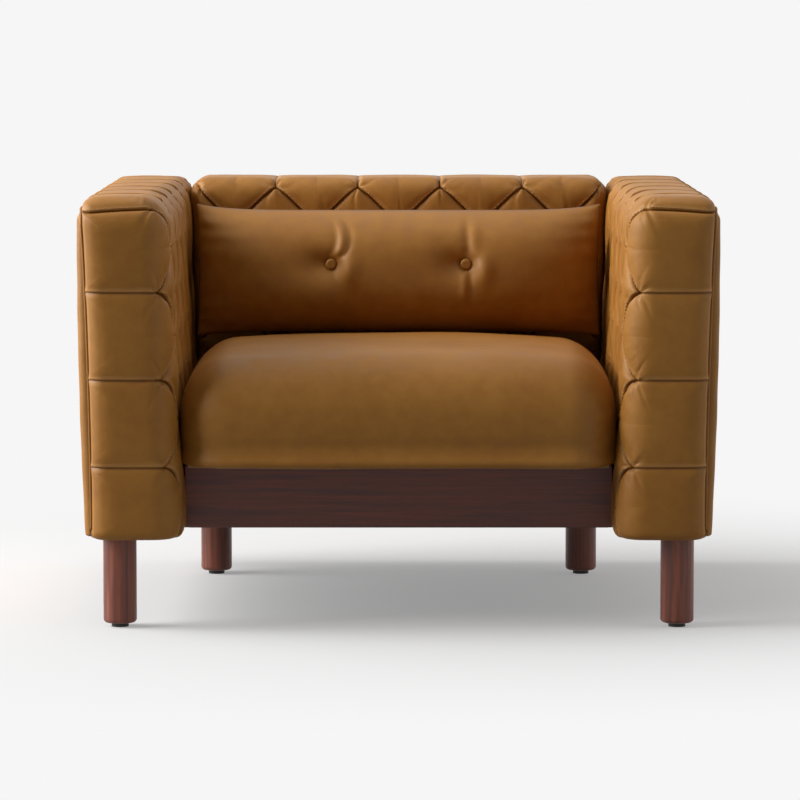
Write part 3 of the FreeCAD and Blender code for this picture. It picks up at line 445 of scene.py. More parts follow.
@dataclass(frozen=True)
class SaddleLeather:
    """Pull-up cowhide, drum dyed and waxed: soft sheen, fine grain, cloudy dye; its seams are darker from dye
    gathered there and from painted shade.

    Along the fold where an upper panel laps over its seam the colour is paler: a painted highlight on the lip.
    """

    name: str = "semi_aniline_saddle_leather"
    deep: str = "#946021"
    middle: str = "#9C6826"
    pale: str = "#A5702E"
    # Seam colour: painted shade in the seams, with some dye gathered there too.
    seam: str = "#5A3410"
    # Paler colour along the lapped folds: a painted highlight on the lips.
    stretched: str = "#CE9A5E"
    seam_shade_share: float = 0.85
    lip_highlight_share: float = 0.62
    panel_share: float = 0.045
    dye_range: tuple[float, float] = (0.72, 1.28)
    cloud_mm: float = 120.0
    mottle_mm: float = 22.0
    pebble_mm: float = 2.4
    pebble_relief_mm: float = 0.6
    pebble_strength: float = 0.12
    crinkle_mm: float = 9.0
    crinkle_relief_mm: float = 1.6
    crinkle_strength: float = 0.16
    roughness: tuple[float, float] = (0.46, 0.62)
    reflection: str = "#FFEBD4"
    specular: float = 0.45

    def material(self) -> bpy.types.Material:
        """Builds the material.

        Two noises and each panel's own tone choose the dye, the crease mark paints shade into the seams and a
        highlight along folded edges, and the grain is a bump of pebbles with wider crinkles over it.
        """
        made, tree = new_material(self.name)
        shader = tree.nodes["Principled BSDF"]
        place = add_node(tree, "TexCoord").outputs["Object"]
        cloud, mottle, crinkle = (
            add_node(
                tree, "TexNoise", {"Vector": place, "Scale": 1000 / size, "Detail": detail}
            ).outputs["Fac"]
            for size, detail in ((self.cloud_mm, 4.0), (self.mottle_mm, 5.0), (self.crinkle_mm, 3.0))
        )
        both = add_node(tree, "Math", {0: cloud, 1: mottle}, operation="ADD").outputs[0]
        tone = add_node(tree, "Attribute", attribute_name="tone").outputs["Fac"]
        shade = add_node(
            tree, "Math", {0: tone, 1: self.panel_share, 2: both}, operation="MULTIPLY_ADD"
        ).outputs[0]
        low, high = self.dye_range
        spread = add_node(tree, "MapRange", {"Value": shade, "From Min": low, "From Max": high})
        dye = add_node(tree, "ValToRGB", {"Fac": spread.outputs[0]})
        set_ramp(dye, [(0.0, self.deep), (0.5, self.middle), (1.0, self.pale)])
        crease = add_node(tree, "Attribute", attribute_name="crease").outputs["Fac"]
        colour = dye.outputs["Color"]
        # Above 0 the crease mark mixes in painted seam shade; below 0 it mixes in a painted highlight.
        for share, tint in ((self.seam_shade_share, self.seam), (-self.lip_highlight_share, self.stretched)):
            weight = add_node(tree, "Math", {0: crease, 1: share}, operation="MULTIPLY").outputs[0]
            inputs = {0: weight, 6: colour, 7: linear(tint)}
            colour = add_node(tree, "Mix", inputs, data_type="RGBA").outputs[2]
        tree.links.new(colour, shader.inputs["Base Color"])
        low, high = self.roughness
        inputs = {"Value": mottle, "From Min": 0.3, "From Max": 0.7, "To Min": low, "To Max": high}
        rough = add_node(tree, "MapRange", inputs)
        tree.links.new(rough.outputs[0], shader.inputs["Roughness"])
        pebble = add_node(
            tree, "TexVoronoi", {"Vector": place, "Scale": 1000 / self.pebble_mm}, feature="SMOOTH_F1"
        ).outputs["Distance"]
        inputs = {"Height": pebble, "Strength": self.pebble_strength, "Distance": self.pebble_relief_mm * MM}
        fine = add_node(tree, "Bump", inputs)
        inputs = {"Height": crinkle, "Strength": self.crinkle_strength, "Distance": self.crinkle_relief_mm * MM}
        soft = add_node(tree, "Bump", {**inputs, "Normal": fine.outputs[0]})
        tree.links.new(soft.outputs[0], shader.inputs["Normal"])
        shader.inputs["Specular IOR Level"].default_value = self.specular
        shader.inputs["Specular Tint"].default_value = linear(self.reflection)
        return made


class Pattern(Enum):
    """What a plain finish's pattern is drawn with."""

    GRAIN = "stretched noise"
    CELLS = "cells"
    WEAVE = "crossed waves"


def real_size(
    tree: Tree, place: Socket, cell_mm: tuple[float, float, float]
) -> Socket:
    """Object coordinates stretched so that one cell of a pattern has its real size."""
    scale = tuple(1000 / size for size in cell_mm)
    return add_node(tree, "Mapping", {"Vector": place, "Scale": scale}).outputs[0]


@dataclass(frozen=True)
class PlainFinish:
    """A finish of two tones: its pattern stretched to real sizes, its roughness and its relief."""

    name: str
    dark: str
    light: str
    pattern: Pattern
    cell_mm: tuple[float, float, float]
    roughness: tuple[float, float]
    relief_mm: float
    metallic: float = 0.0
    specular: float = 0.5
    coat: float = 0.0
    streak_mm: tuple[float, float, float] | None = None
    streak: str = "#000000"

    def drawn(self, tree: Tree, place: Socket) -> Socket:
        """Adds the pattern: a noise, the distance in cells, or two waves that cross."""
        inputs = {"Vector": real_size(tree, place, self.cell_mm), "Scale": 1.0}
        if self.pattern is Pattern.CELLS:
            return add_node(tree, "TexVoronoi", inputs).outputs["Distance"]
        if self.pattern is Pattern.WEAVE:
            warp, weft = (
                add_node(tree, "TexWave", inputs, bands_direction=way).outputs["Fac"] for way in "XZ"
            )
            return add_node(tree, "Math", {0: warp, 1: weft}, operation="MULTIPLY").outputs[0]
        grain = {**inputs, "Detail": 6.0, "Distortion": 0.4}
        return add_node(tree, "TexNoise", grain).outputs["Fac"]

    def material(self) -> bpy.types.Material:
        """Builds the material.

        The pattern's height picks the tone between dark and light, the roughness and the relief, and a
        second, longer noise lays streaks over the tone where the finish has them.
        """
        made, tree = new_material(self.name)
        shader = tree.nodes["Principled BSDF"]
        place = add_node(tree, "TexCoord").outputs["Object"]
        height = self.drawn(tree, place)
        tones = add_node(tree, "ValToRGB", {"Fac": height})
        set_ramp(tones, [(0.3, self.dark), (0.7, self.light)])
        colour = tones.outputs["Color"]
        if self.streak_mm:
            inputs = {"Vector": real_size(tree, place, self.streak_mm), "Scale": 1.0, "Detail": 3.0}
            streaks = add_node(tree, "TexNoise", inputs).outputs["Fac"]
            inputs = {"Value": streaks, "From Min": 0.5, "From Max": 0.68, "To Max": 0.7}
            cover = add_node(tree, "MapRange", inputs).outputs[0]
            inputs = {0: cover, 6: colour, 7: linear(self.streak)}
            colour = add_node(tree, "Mix", inputs, data_type="RGBA").outputs[2]
        tree.links.new(colour, shader.inputs["Base Color"])
        low, high = self.roughness
        rough = add_node(tree, "MapRange", {"Value": height, "To Min": low, "To Max": high})
        tree.links.new(rough.outputs[0], shader.inputs["Roughness"])
        inputs = {"Height": height, "Strength": 0.35, "Distance": self.relief_mm * MM}
        bump = add_node(tree, "Bump", inputs)
        tree.links.new(bump.outputs[0], shader.inputs["Normal"])
        shader.inputs["Metallic"].default_value = self.metallic
        shader.inputs["Specular IOR Level"].default_value = self.specular
        shader.inputs["Coat Weight"].default_value = self.coat
        shader.inputs["Coat Roughness"].default_value = 0.3
        return made


# Black walnut, planed, stained and lacquered: dark straight figure with finer pores, a satin film.
WALNUT_ACROSS = PlainFinish(
    "lacquered_walnut_across", "#552A20", "#824839", Pattern.GRAIN, (160.0, 6.0, 6.0), (0.36, 0.5), 0.12,
    coat=0.1, specular=0.35, streak_mm=(220.0, 14.0, 14.0), streak="#331610",
)
WALNUT_UPRIGHT = PlainFinish(
    "lacquered_walnut_upright", "#703726", "#9B5741", Pattern.GRAIN, (5.0, 5.0, 120.0), (0.34, 0.48), 0.12,
    coat=0.12, specular=0.4, streak_mm=(9.0, 9.0, 180.0), streak="#4C2318",
)
# Planed hardwood without finish: pale, matt, straight grain.
FRAME_TIMBER = PlainFinish(
    "planed_hardwood", "#A98655", "#C9AA7A", Pattern.GRAIN, (60.0, 60.0, 8.0), (0.6, 0.75), 0.2,
    streak_mm=(140.0, 140.0, 18.0), streak="#9A7546",
)
# Sanded plywood: paler face veneer with broad figure.
PLYWOOD = PlainFinish(
    "sanded_plywood", "#B59163", "#D3B78A", Pattern.GRAIN, (30.0, 160.0, 30.0), (0.6, 0.78), 0.15,
    streak_mm=(40.0, 260.0, 40.0), streak="#A07E50",
)
# Cut polyurethane foam: open cells about two millimetres across, matt and pale yellow.
FOAM = PlainFinish(
    "cut_polyurethane_foam", "#CDBE96", "#EBDFBF", Pattern.CELLS, (2.2, 2.2, 2.2), (0.85, 0.95), 0.8
)
# Pressed felt: matted fibres, no gloss.
FELT = PlainFinish("pressed_felt", "#6E6962", "#8F8A82", Pattern.GRAIN, (3.0, 3.0, 3.0), (0.9, 1.0), 0.6)
# Spunbonded polypropylene: bonded points of a millimetre and a half in rows.
BLACK_CLOTH = PlainFinish(
    "spunbonded_black_cloth", "#131314", "#2A2A2C", Pattern.WEAVE, (3.0, 3.0, 3.0), (0.75, 0.9), 0.15
)
# Woven zip tape with nylon teeth, dyed to the leather.
ZIP_TAPE = PlainFinish("woven_zip_tape", "#3C2A1A", "#5A4128", Pattern.WEAVE, (1.6, 1.6, 1.6), (0.6, 0.8), 0.2)
# Waxed twisted twine: strands, a dull shine.
WAXED_TWINE = PlainFinish(
    "waxed_twisted_twine", "#8C6A3C", "#B8925A", Pattern.GRAIN, (1.5, 1.5, 4.0), (0.5, 0.65), 0.2
)
# Bonded polyester topstitch thread, paler than the hide: twisted, slightly shiny.
TOPSTITCH = PlainFinish(
    "bonded_topstitch_thread", "#A67B47", "#C89C63", Pattern.GRAIN, (1.2, 1.2, 1.2), (0.45, 0.6), 0.2
)
# Drawn spring wire with a dark coat.
SPRING_STEEL = PlainFinish(
    "coated_spring_wire", "#3A3B3E", "#55575B", Pattern.GRAIN, (2.0, 30.0, 2.0), (0.35, 0.5), 0.05, metallic=1.0
)
# Bright zinc plate: spangled, bluish white.
ZINC = PlainFinish(
    "bright_zinc_plate", "#A9ADB1", "#C8CBCE", Pattern.CELLS, (6.0, 6.0, 6.0), (0.25, 0.4), 0.03, metallic=1.0
)
# Moulded nylon glide: near black, fine spark-eroded texture.
NYLON = PlainFinish(
    "moulded_black_nylon", "#121110", "#1F1D1C", Pattern.GRAIN, (0.8, 0.8, 0.8), (0.5, 0.62), 0.05
)

SLOT_FINISH: dict[str, PlainFinish | SaddleLeather] = {
    "saddle_leather": SaddleLeather(),
    "walnut": WALNUT_ACROSS,
    "frame_timber": FRAME_TIMBER,
    "plywood": PLYWOOD,
    "foam": FOAM,
    "felt": FELT,
    "black_cloth": BLACK_CLOTH,
    "zip_tape": ZIP_TAPE,
    "waxed_twine": WAXED_TWINE,
    "spring_steel": SPRING_STEEL,
    "zinc_plated_steel": ZINC,
    "glide_nylon": NYLON,
}


class Workshop:
    """Keeps one material per finish, dresses pieces and puts them on their bodies."""

    def __init__(self) -> None:
        """Starts with no materials made."""
        self.made: dict[str, bpy.types.Material] = {}

    def material(self, finish: PlainFinish | SaddleLeather) -> bpy.types.Material:
        """The material of a finish, built once."""
        if finish.name not in self.made:
            self.made[finish.name] = finish.material()
        return self.made[finish.name]

    def dress(
        self,
        piece: Piece,
        body: str,
        slot: str,
        finish: PlainFinish | SaddleLeather | None = None,
        replaced: tuple[str, ...] = (),
    ) -> None:
        """Finishes a new piece.

        Args:
            piece: The piece.
            body: The CAD body that it rides on.
            slot: The record's material slot.
            finish: Its finish, where it isn't the slot's own.
            replaced: CAD nodes that it stands for.
        """
        piece.data.materials.clear()
        piece.data.materials.append(self.material(finish or SLOT_FINISH[slot]))
        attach(piece, body)
        if replaced:
            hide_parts(*replaced)
        log.info("%s: %d faces on %s", piece.name, len(piece.data.polygons), body)

    def dress_cad(self) -> None:
        """Gives every CAD node the finish of its material slot, legs with upright grain."""
        for name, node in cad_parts.items():
            slot = node.data.materials[0].name.split(".")[0]
            finish = WALNUT_UPRIGHT if name.endswith("_leg") else SLOT_FINISH[slot]
            for shown in node.material_slots:
                shown.link = "OBJECT"
                shown.material = self.material(finish)
            node.data.polygons.foreach_set("use_smooth", np.zeros(len(node.data.polygons), bool))


# Sewn panels


class Seam(Enum):
    """Kinds of seam, each with how far it is pulled in."""

    DIAGONAL = 9.0
    CROSS = 3.6
    STRAIGHT = 3.0
    WELTED = 5.0
    PLAIN = 0.0


class Lap(Enum):
    """How a panel meets a seam: over its neighbour, under it, turned in, proud of it, or flat across a top.

    Each value lists the parts of the panel's fall into the seam as (share, reach, start, power).
    """

    OVER = ((0.38, 17.0, 0.0, 1), (0.20, 5.0, 0.0, 1), (0.42, 1.1, 0.0, 2))
    UNDER = ((0.46, 17.0, 0.0, 1), (0.54, 3.0, 0.0, 1))
    TURNED = ((0.45, 17.0, 0.0, 1), (0.55, 5.0, 0.0, 1))
    PROUD = ((1.0, 1.4, 0.0, 2), (-0.42, 5.0, 5.0, 2))
    FLAT = ((0.25, 14.0, 0.0, 1), (0.75, 3.5, 0.0, 1))

    def fall(self, gap: Array) -> Array:
        """Share of the seam's depth at a gap from it.

        Each part is its share times e to the minus of (gap - start) / reach, raised to its power.
        """
        return sum(
            share * np.exp(-(((gap - start) / reach) ** power)) for share, reach, start, power in self.value
        )


# Laps of the upper and the lower panel at each kind of seam.
PANEL_LAPS: dict[Seam, tuple[Lap, Lap]] = {
    Seam.DIAGONAL: (Lap.OVER, Lap.UNDER),
    Seam.STRAIGHT: (Lap.OVER, Lap.UNDER),
    Seam.CROSS: (Lap.PROUD, Lap.FLAT),
    Seam.WELTED: (Lap.TURNED, Lap.TURNED),
    Seam.PLAIN: (Lap.TURNED, Lap.TURNED),
}
TUFT_DEPTH = 10.5
END_DEPTH = 2.0
END_REACH = 7.0
# How far a panel's outer rings lie from its seams, at most their number in sixteenths of the way in.
RING_OFFSETS = (0.5, 1.1, 2.1, 3.8, 6.5, 10.5, 16.0)
INNER_RINGS = 4
FAR = 1e3


@dataclass
class Edge:
    """One sewn edge: its flat line, its line on the form, its depth and where the leather lies."""

    flat: Array | None
    base: Array
    depth: Array
    sewn: Array
    kind: Seam


@dataclass(frozen=True)
class Side:
    """A seam as one panel meets it: its edge, whether it runs backwards, and the panel's lap."""

    edge: Edge
    backwards: bool
    lap: Lap

    def turned(self) -> "Side":
        """The same seam run the other way."""
        return replace(self, backwards=not self.backwards)

    def ordered(self, line: Array) -> Array:
        """A line of the edge in the panel's order, without its last point."""
        return (line[::-1] if self.backwards else line)[:-1]


def flat_key(key: Key) -> Key:
    """A flat place to a hundredth of a millimetre, or a corner's name as it is."""
    return key if isinstance(key, str) else (round(key[0], 2), round(key[1], 2))


class SewnShell:
    """Leather panels sewn edge to edge over a padded form."""

    def __init__(self, form: PaddedForm, pitch: float, swell: float, seed: int, bow: float = 0.0) -> None:
        """Starts an empty shell.

        Args:
            form: The padded form under the leather.
            pitch: Spacing of the points along a seam.
            swell: How far the middle of a panel stands out.
            seed: Seed of the panels' shades.
            bow: How far a falling diagonal seam bows up, which lets it leave its upper end level.
        """
        self.form = form
        self.bow = bow
        self.pitch = pitch
        self.swell = swell
        self.random = np.random.default_rng(seed)
        self.edges: dict[tuple[Key, Key], Edge] = {}
        self.knots: dict[Key, tuple[Array, Array]] = {}
        self.tufts = np.zeros((0, 3))
        self.tuft_keys: set[Key] = set()
        self.skin = Skin()

    def folds(self, base: Array) -> Array:
        """Lift of the leather: small folds round the nearest tuft, like spokes, plus the slow ripple.

        A tuft has five to seven spokes. They start a few millimetres out, fade away from it and twist a
        little, and each spoke is a valley with the cube of a cosine.
        """
        lift = ripple(base)
        if len(self.tufts):
            reach = base[:, None, :] - self.tufts[None]
            length = np.linalg.norm(reach, axis=2)
            nearby = length.argmin(axis=1)
            rows = np.arange(len(base))
            step, radius = reach[rows, nearby], length[rows, nearby]
            angle = np.arctan2(step[:, 2], step @ np.array(self.form.girth_axis))
            fade = np.exp(-radius / 18.0) * (1.0 - hump(radius, 5.0))
            wave = np.cos((5 + nearby % 3) * angle + nearby * 1.7 + 0.7 * np.sin(radius / 9.0))
            lift = lift + 2.8 * fade * (1.0 - 2.2 * np.abs(wave) ** 3 * (wave > 0))
        return lift

    def laid(self, base: Array, depth: Array | float) -> Array:
        """Where the leather lies over points of the form, pulled in by a depth."""
        return base + outward(self.form, base) * (self.folds(base) - depth)[:, None]

    def mark_tufts(self, flats: list[Flat]) -> None:
        """Keeps the places on the form where seams cross."""
        self.tufts = settled(self.form, self.form.bend(np.array(flats, float)))
        self.tuft_keys = {flat_key(flat) for flat in flats}

    def depth_of(self, key: Key) -> float:
        """Depth of a seam's end: deep at a tuft, shallow at another flat place, none at a named corner."""
        loose = 0.0 if isinstance(key, str) else END_DEPTH
        return TUFT_DEPTH if flat_key(key) in self.tuft_keys else loose

    def knot(self, key: Key, place: Array | None = None) -> tuple[Array, Array]:
        """End point of seams: a flat place, or a named corner of the form given once.

        Args:
            key: Flat coordinates, or the corner's name.
            place: The named corner's rough place.

        Returns:
            The point on the form and the point on the leather.
        """
        key = flat_key(key)
        if key not in self.knots:
            rough = self.form.bend(np.array([key], float)) if place is None else place[None]
            base = settled(self.form, rough)
            self.knots[key] = (base[0], self.laid(base, np.array([self.depth_of(key)]))[0])
        return self.knots[key]

    def flat_line(self, start: Flat, end: Flat, kind: Seam) -> Array:
        """A seam's line in flat coordinates: straight, but a falling diagonal bows up.

        The bow is x times the square of 1 - x from the upper end, times 27/4 so that its crest is 1.
        Short seams bow less.
        """
        flat = resampled(np.array([start, end], float), self.pitch)
        run = flat[-1] - flat[0]
        if kind is Seam.DIAGONAL and run[0] * run[1] < 0:
            share = np.linspace(0.0, 1.0, len(flat)) if run[1] < 0 else np.linspace(1.0, 0.0, len(flat))
            lift = self.bow * 6.75 * share * (1.0 - share) ** 2 * min(1.0, np.linalg.norm(run) / 90.0)
            flat = flat + lift[:, None] * np.abs(run[::-1]) / np.linalg.norm(run)
        return flat

    def seam(
        self, start: Key, end: Key, kind: Seam, lap: Lap = Lap.TURNED, way: Array | None = None
    ) -> Side:
        """A seam between two knots, made once and shared by both panels.

        Its depth is its kind's, and eases into the depth of each end.

        Args:
            start: Key of the first knot.
            end: Key of the last knot.
            kind: Kind of seam.
            lap: How this panel meets it.
            way: Rough points of the whole line where it isn't straight in flat coordinates.

        Returns:
            The seam as this panel meets it.
        """
        keys = (flat_key(start), flat_key(end))
        if keys in self.edges:
            return Side(self.edges[keys], False, lap)
        if keys[::-1] in self.edges:
            return Side(self.edges[keys[::-1]], True, lap)
        flat = self.flat_line(*keys, kind) if way is None else None
        rough = self.form.bend(flat) if way is None else resampled(way, self.pitch * 1.5)
        base = settled(self.form, rough)
        ends = [self.knot(key) for key in keys]
        base[0], base[-1] = ends[0][0], ends[1][0]
        along = np.concatenate([[0.0], np.cumsum(np.linalg.norm(np.diff(base, axis=0), axis=1))])
        depth = kind.value + (self.depth_of(keys[0]) - kind.value) * np.exp(-along / END_REACH)
        depth = depth + (self.depth_of(keys[1]) - kind.value) * np.exp(-(along[-1] - along) / END_REACH)
        sewn = self.laid(base, depth)
        sewn[0], sewn[-1] = ends[0][1], ends[1][1]
        self.edges[keys] = Edge(flat, base, depth, sewn, kind)
        return Side(self.edges[keys], False, lap)

    def straight(self, start: Key, end: Key, kind: Seam) -> Side:
        """A seam along the straight way between two knots."""
        return self.seam(start, end, kind, way=np.array([self.knot(start)[0], self.knot(end)[0]]))

    def chain(self, keys: list[Key], kind: Seam) -> list[Side]:
        """Seams from each knot to the next."""
        return [self.seam(start, end, kind) for start, end in zip(keys, keys[1:])]

    def drawn_in(self, ring: list[Side], inner: Array, flat: bool) -> tuple[Array, Array]:
        """How far points of a panel are pulled in, and their marks of painted seam shade and lip highlight.

        Each seam pulls by its depth at the nearest place times the lap's fall, and the seams are blended
        by one over the square of the gap. Far from all seams the panel swells out. The mark, the weight of
        the painted seam shade, is 1 in a seam and goes below 0 along the fold of an upper panel, for a painted
        highlight.

        Args:
            ring: The panel's seams.
            inner: The points, flat or on the form.
            flat: Whether they are flat.

        Returns:
            The depth and the mark of each point.
        """
        pulls, weights, swell = np.zeros(len(inner)), np.zeros(len(inner)), np.ones(len(inner))
        seam_gap, lip_gap = np.full(len(inner), FAR), np.full(len(inner), FAR)
        for side in ring:
            edge = side.edge
            gap, place = nearest(inner, edge.flat if flat else edge.base)
            depth = np.interp(place, np.arange(len(edge.depth)), edge.depth)
            weight = 1.0 / (gap * gap + 1e-4)
            pulls += weight * depth * side.lap.fall(gap)
            weights += weight
            swell *= 1.0 - np.exp(-gap / 20.0)
            if edge.kind is not Seam.PLAIN:
                seam_gap = np.minimum(seam_gap, gap)
            if side.lap in (Lap.OVER, Lap.PROUD):
                lip_gap = np.minimum(lip_gap, gap)
        # The mark: painted shade near the seams, less a painted highlight on the lips.
        return pulls / weights - self.swell * swell, hump(seam_gap, 1.9) - 0.9 * hump(lip_gap - 4.0, 2.2)

    def bowed(self, loop: Array, middle: Array, shares: list[Array]) -> Array:
        """Shifts that bow the straight ways from a loop to its middle out with the turn of the surface.

        At its crest a way is shifted by a quarter of its length times the tangent of half the turn.
        """
        there, here = outward(self.form, loop), outward(self.form, middle[None])
        turn = np.clip(there @ here[0], -0.2, 1.0)
        bow = 0.5 * np.linalg.norm(loop - middle, axis=1) * np.sqrt((1.0 - turn) / (1.0 + turn))
        lean = unit(there + here)
        lifts = [(2.0 * s * (1.0 - s) * bow)[:, None] * lean for s in shares]
        return np.concatenate(lifts + [np.zeros((1, 3))])

    def panel(self, ring: list[Side], middle: Array, flat: bool = False) -> None:
        """Fills the loop of seams with rings of points that close in on its middle.

        In flat coordinates each ring is the loop drawn in towards the middle. On the form itself the
        straight way in is first bowed outwards by the turn of the surface, then settled.

        Args:
            ring: The panel's seams in order.
            middle: The middle, flat or on the form.
            flat: Whether the loop is filled in flat coordinates.
        """
        loop = np.concatenate([side.ordered(side.edge.flat if flat else side.edge.base) for side in ring])
        sewn = np.concatenate([side.ordered(side.edge.sewn) for side in ring])
        marks = [np.full(len(side.edge.sewn) - 1, float(side.edge.kind is not Seam.PLAIN)) for side in ring]
        reach = np.linalg.norm(loop - middle, axis=1)
        shares = [1.0 - np.minimum(offset / reach, (k + 1) / 16) for k, offset in enumerate(RING_OFFSETS)]
        last = shares[-1]
        shares += [last * (1.0 - (k + 1) / (INNER_RINGS + 1)) for k in range(INNER_RINGS)]
        rings = [middle + share[:, None] * (loop - middle) for share in shares]
        inner = np.concatenate(rings + [middle[None]])
        if flat:
            base = settled(self.form, self.form.bend(inner))
        else:
            base = inner = settled(self.form, inner + self.bowed(loop, middle, shares))
        depth, mark = self.drawn_in(ring, inner, flat)
        points = np.concatenate([sewn, self.laid(base, depth)])
        size = len(loop)
        quads = grid_faces(len(shares) + 1, size, closed=True)
        last_ring = np.arange(size) + len(shares) * size
        fan = np.stack([last_ring, np.roll(last_ring, -1), np.full(size, len(points) - 1)], axis=1)
        faces = turned_out([quads, fan], points, outward(self.form, points[quads].mean(axis=1)))
        self.skin.add(points, faces, np.concatenate(marks + [mark]), float(self.random.uniform(-1, 1)))

    def flat_panel(self, corners: list[Flat], kind_of: Callable[[Flat, Flat], Seam]) -> None:
        """A panel whose edges are straight in flat coordinates.

        It laps over the seams that it lies above, or to the right of where they are upright.

        Args:
            corners: Its corners in order.
            kind_of: Gives the kind of seam between two corners.
        """
        centre = np.array(corners, float).mean(axis=0)
        ring = []
        for start, end in zip(corners, corners[1:] + corners[:1]):
            kind = kind_of(start, end)
            run = np.array(end, float) - start
            across = np.array([-run[1], run[0]])
            leading = across[1] if abs(across[1]) > 1e-6 * max(1.0, abs(across[0])) else across[0]
            upper = (centre - start) @ across * np.sign(leading) > 0
            ring.append(self.seam(start, end, kind, PANEL_LAPS[kind][0 if upper else 1]))
        self.panel(ring, centre, flat=True)

    def topstitch(self, side: float = 3.2, pitch: float = 7.0, margin: float = 5.0) -> Skin:
        """Lays short grains of thread beside every lapped seam, on the panel that lies over.

        Args:
            side: Distance from the seam.
            pitch: Length of one stitch with its gap.
            margin: What each end of a seam keeps free.

        Returns:
            The skin with the grains.
        """
        places = []
        for edge in self.edges.values():
            if edge.flat is None or edge.kind in (Seam.WELTED, Seam.PLAIN):
                continue
            steps = np.linalg.norm(np.diff(edge.flat, axis=0), axis=1)
            track = np.concatenate([[0.0], np.cumsum(steps)])
            length = float(track[-1])
            count = int((length - 2 * margin) / pitch)
            if count < 1:
                continue
            stitches = np.repeat(np.arange(count), 2) + np.tile([0.3, 0.7], count)
            along = margin + stitches * (length - 2 * margin) / count
            line = np.stack([np.interp(along, track, column) for column in edge.flat.T], axis=1)
            across = (edge.flat[-1] - edge.flat[0])[::-1] * np.array([-1.0, 1.0]) / length
            if across[1] < -1e-6 or (abs(across[1]) <= 1e-6 and across[0] < 0):
                across = -across
            places.append(line + across * side)
        base = settled(self.form, self.form.bend(np.concatenate(places)))
        depth = 0.52 * Seam.DIAGONAL.value * math.exp(-side / 8.0) - self.swell * 0.12
        laid = self.laid(base, np.full(len(base), depth - 0.1))
        first, second = laid[0::2], laid[1::2]
        away = outward(self.form, base[0::2])
        return thread_grains((first + second) / 2, second - first, away, pitch * 0.62, 0.55)


def thread_grains(centre: Array, along: Array, away: Array, length: float, radius: float) -> Skin:
    """Spindles of six sides and four rings, one per stitch, sunk a little into the leather.

    Args:
        centre: Their middles.
        along: Their directions.
        away: The directions away from the leather.
        length: Length of one.
        radius: Its radius in the middle.

    Returns:
        The skin with the spindles.
    """
    sides = 6
    along = unit(along)
    side = unit(np.cross(along, away))
    up = np.cross(side, along)
    turn = np.linspace(0, 2 * math.pi, sides, endpoint=False)
    stations = np.array([-0.5, -0.3, 0.3, 0.5]) * length
    widths = np.array([0.35, 1.0, 1.0, 0.35]) * radius
    falls = np.array([-0.55, 0.0, 0.0, -0.55]) * radius
    ring = [
        np.repeat(stations, sides)[:, None],
        np.outer(widths, np.cos(turn)).reshape(-1, 1),
        (np.outer(widths, np.sin(turn)) + falls[:, None]).reshape(-1, 1),
    ]
    points = centre[:, None] + ring[0] * along[:, None] + ring[1] * side[:, None] + ring[2] * up[:, None]
    count = len(stations) * sides
    caps = np.stack([np.arange(sides), count - 1 - np.arange(sides)])
    shift = (np.arange(len(centre)) * count)[:, None, None]
    walls = (grid_faces(len(stations), sides, closed=True)[:, ::-1][None] + shift).reshape(-1, 4)
    skin = Skin()
    skin.add(points.reshape(-1, 3), [walls, (caps[None] + shift).reshape(-1, sides)], 0.0, 0.0)
    return skin


def clipped(corners: list[Flat], slope: float, level: float, sign: float, axis: int) -> list[Flat]:
    """Keeps the part of a polygon where sign * (corner[axis] - level - slope * other) is at most zero.

    Args:
        corners: The polygon.
        slope: Change of the limit with the other coordinate.
        level: The limit.
        sign: 1 keeps what is below the limit, -1 what is above it.
        axis: 0 for girth, 1 for rise.

    Returns:
        The corners that remain, with new ones on the limit.
    """
    kept = []
    values = [sign * (c[axis] - level - slope * c[1 - axis]) for c in corners]
    for k, corner in enumerate(corners):
        following = (k + 1) % len(corners)
        ahead, value, next_value = corners[following], values[k], values[following]
        if value <= 1e-6:
            kept.append(corner)
        if value * next_value < -1e-9 and abs(value) > 1e-6 and abs(next_value) > 1e-6:
            share = value / (value - next_value)
            kept.append(tuple(c + share * (a - c) for c, a in zip(corner, ahead)))
    return [tuple(round(float(c), 2) for c in corner) for corner in kept]


def diamond(girth: float, rise: float, half_girth: float, half_rise: float) -> list[Flat]:
    """Corners of a diamond round a centre."""
    across, up = (half_girth, -half_girth), (half_rise, -half_rise)
    return [(girth, rise + up[0]), (girth + across[0], rise), (girth, rise + up[1]), (girth + across[1], rise)]


def foam_body(
    name: str, form: Solid, low: Array, high: Array, counts: tuple[int, int, int], mirror: bool = False
) -> Piece:
    """Foam under a sewn cover, cut back from the deepest seams."""
    points, faces = box_skin(Inset(form, 13.0), low, high, counts, 0.4)
    return skinned(name, points, faces, mirror=mirror)


# Arms


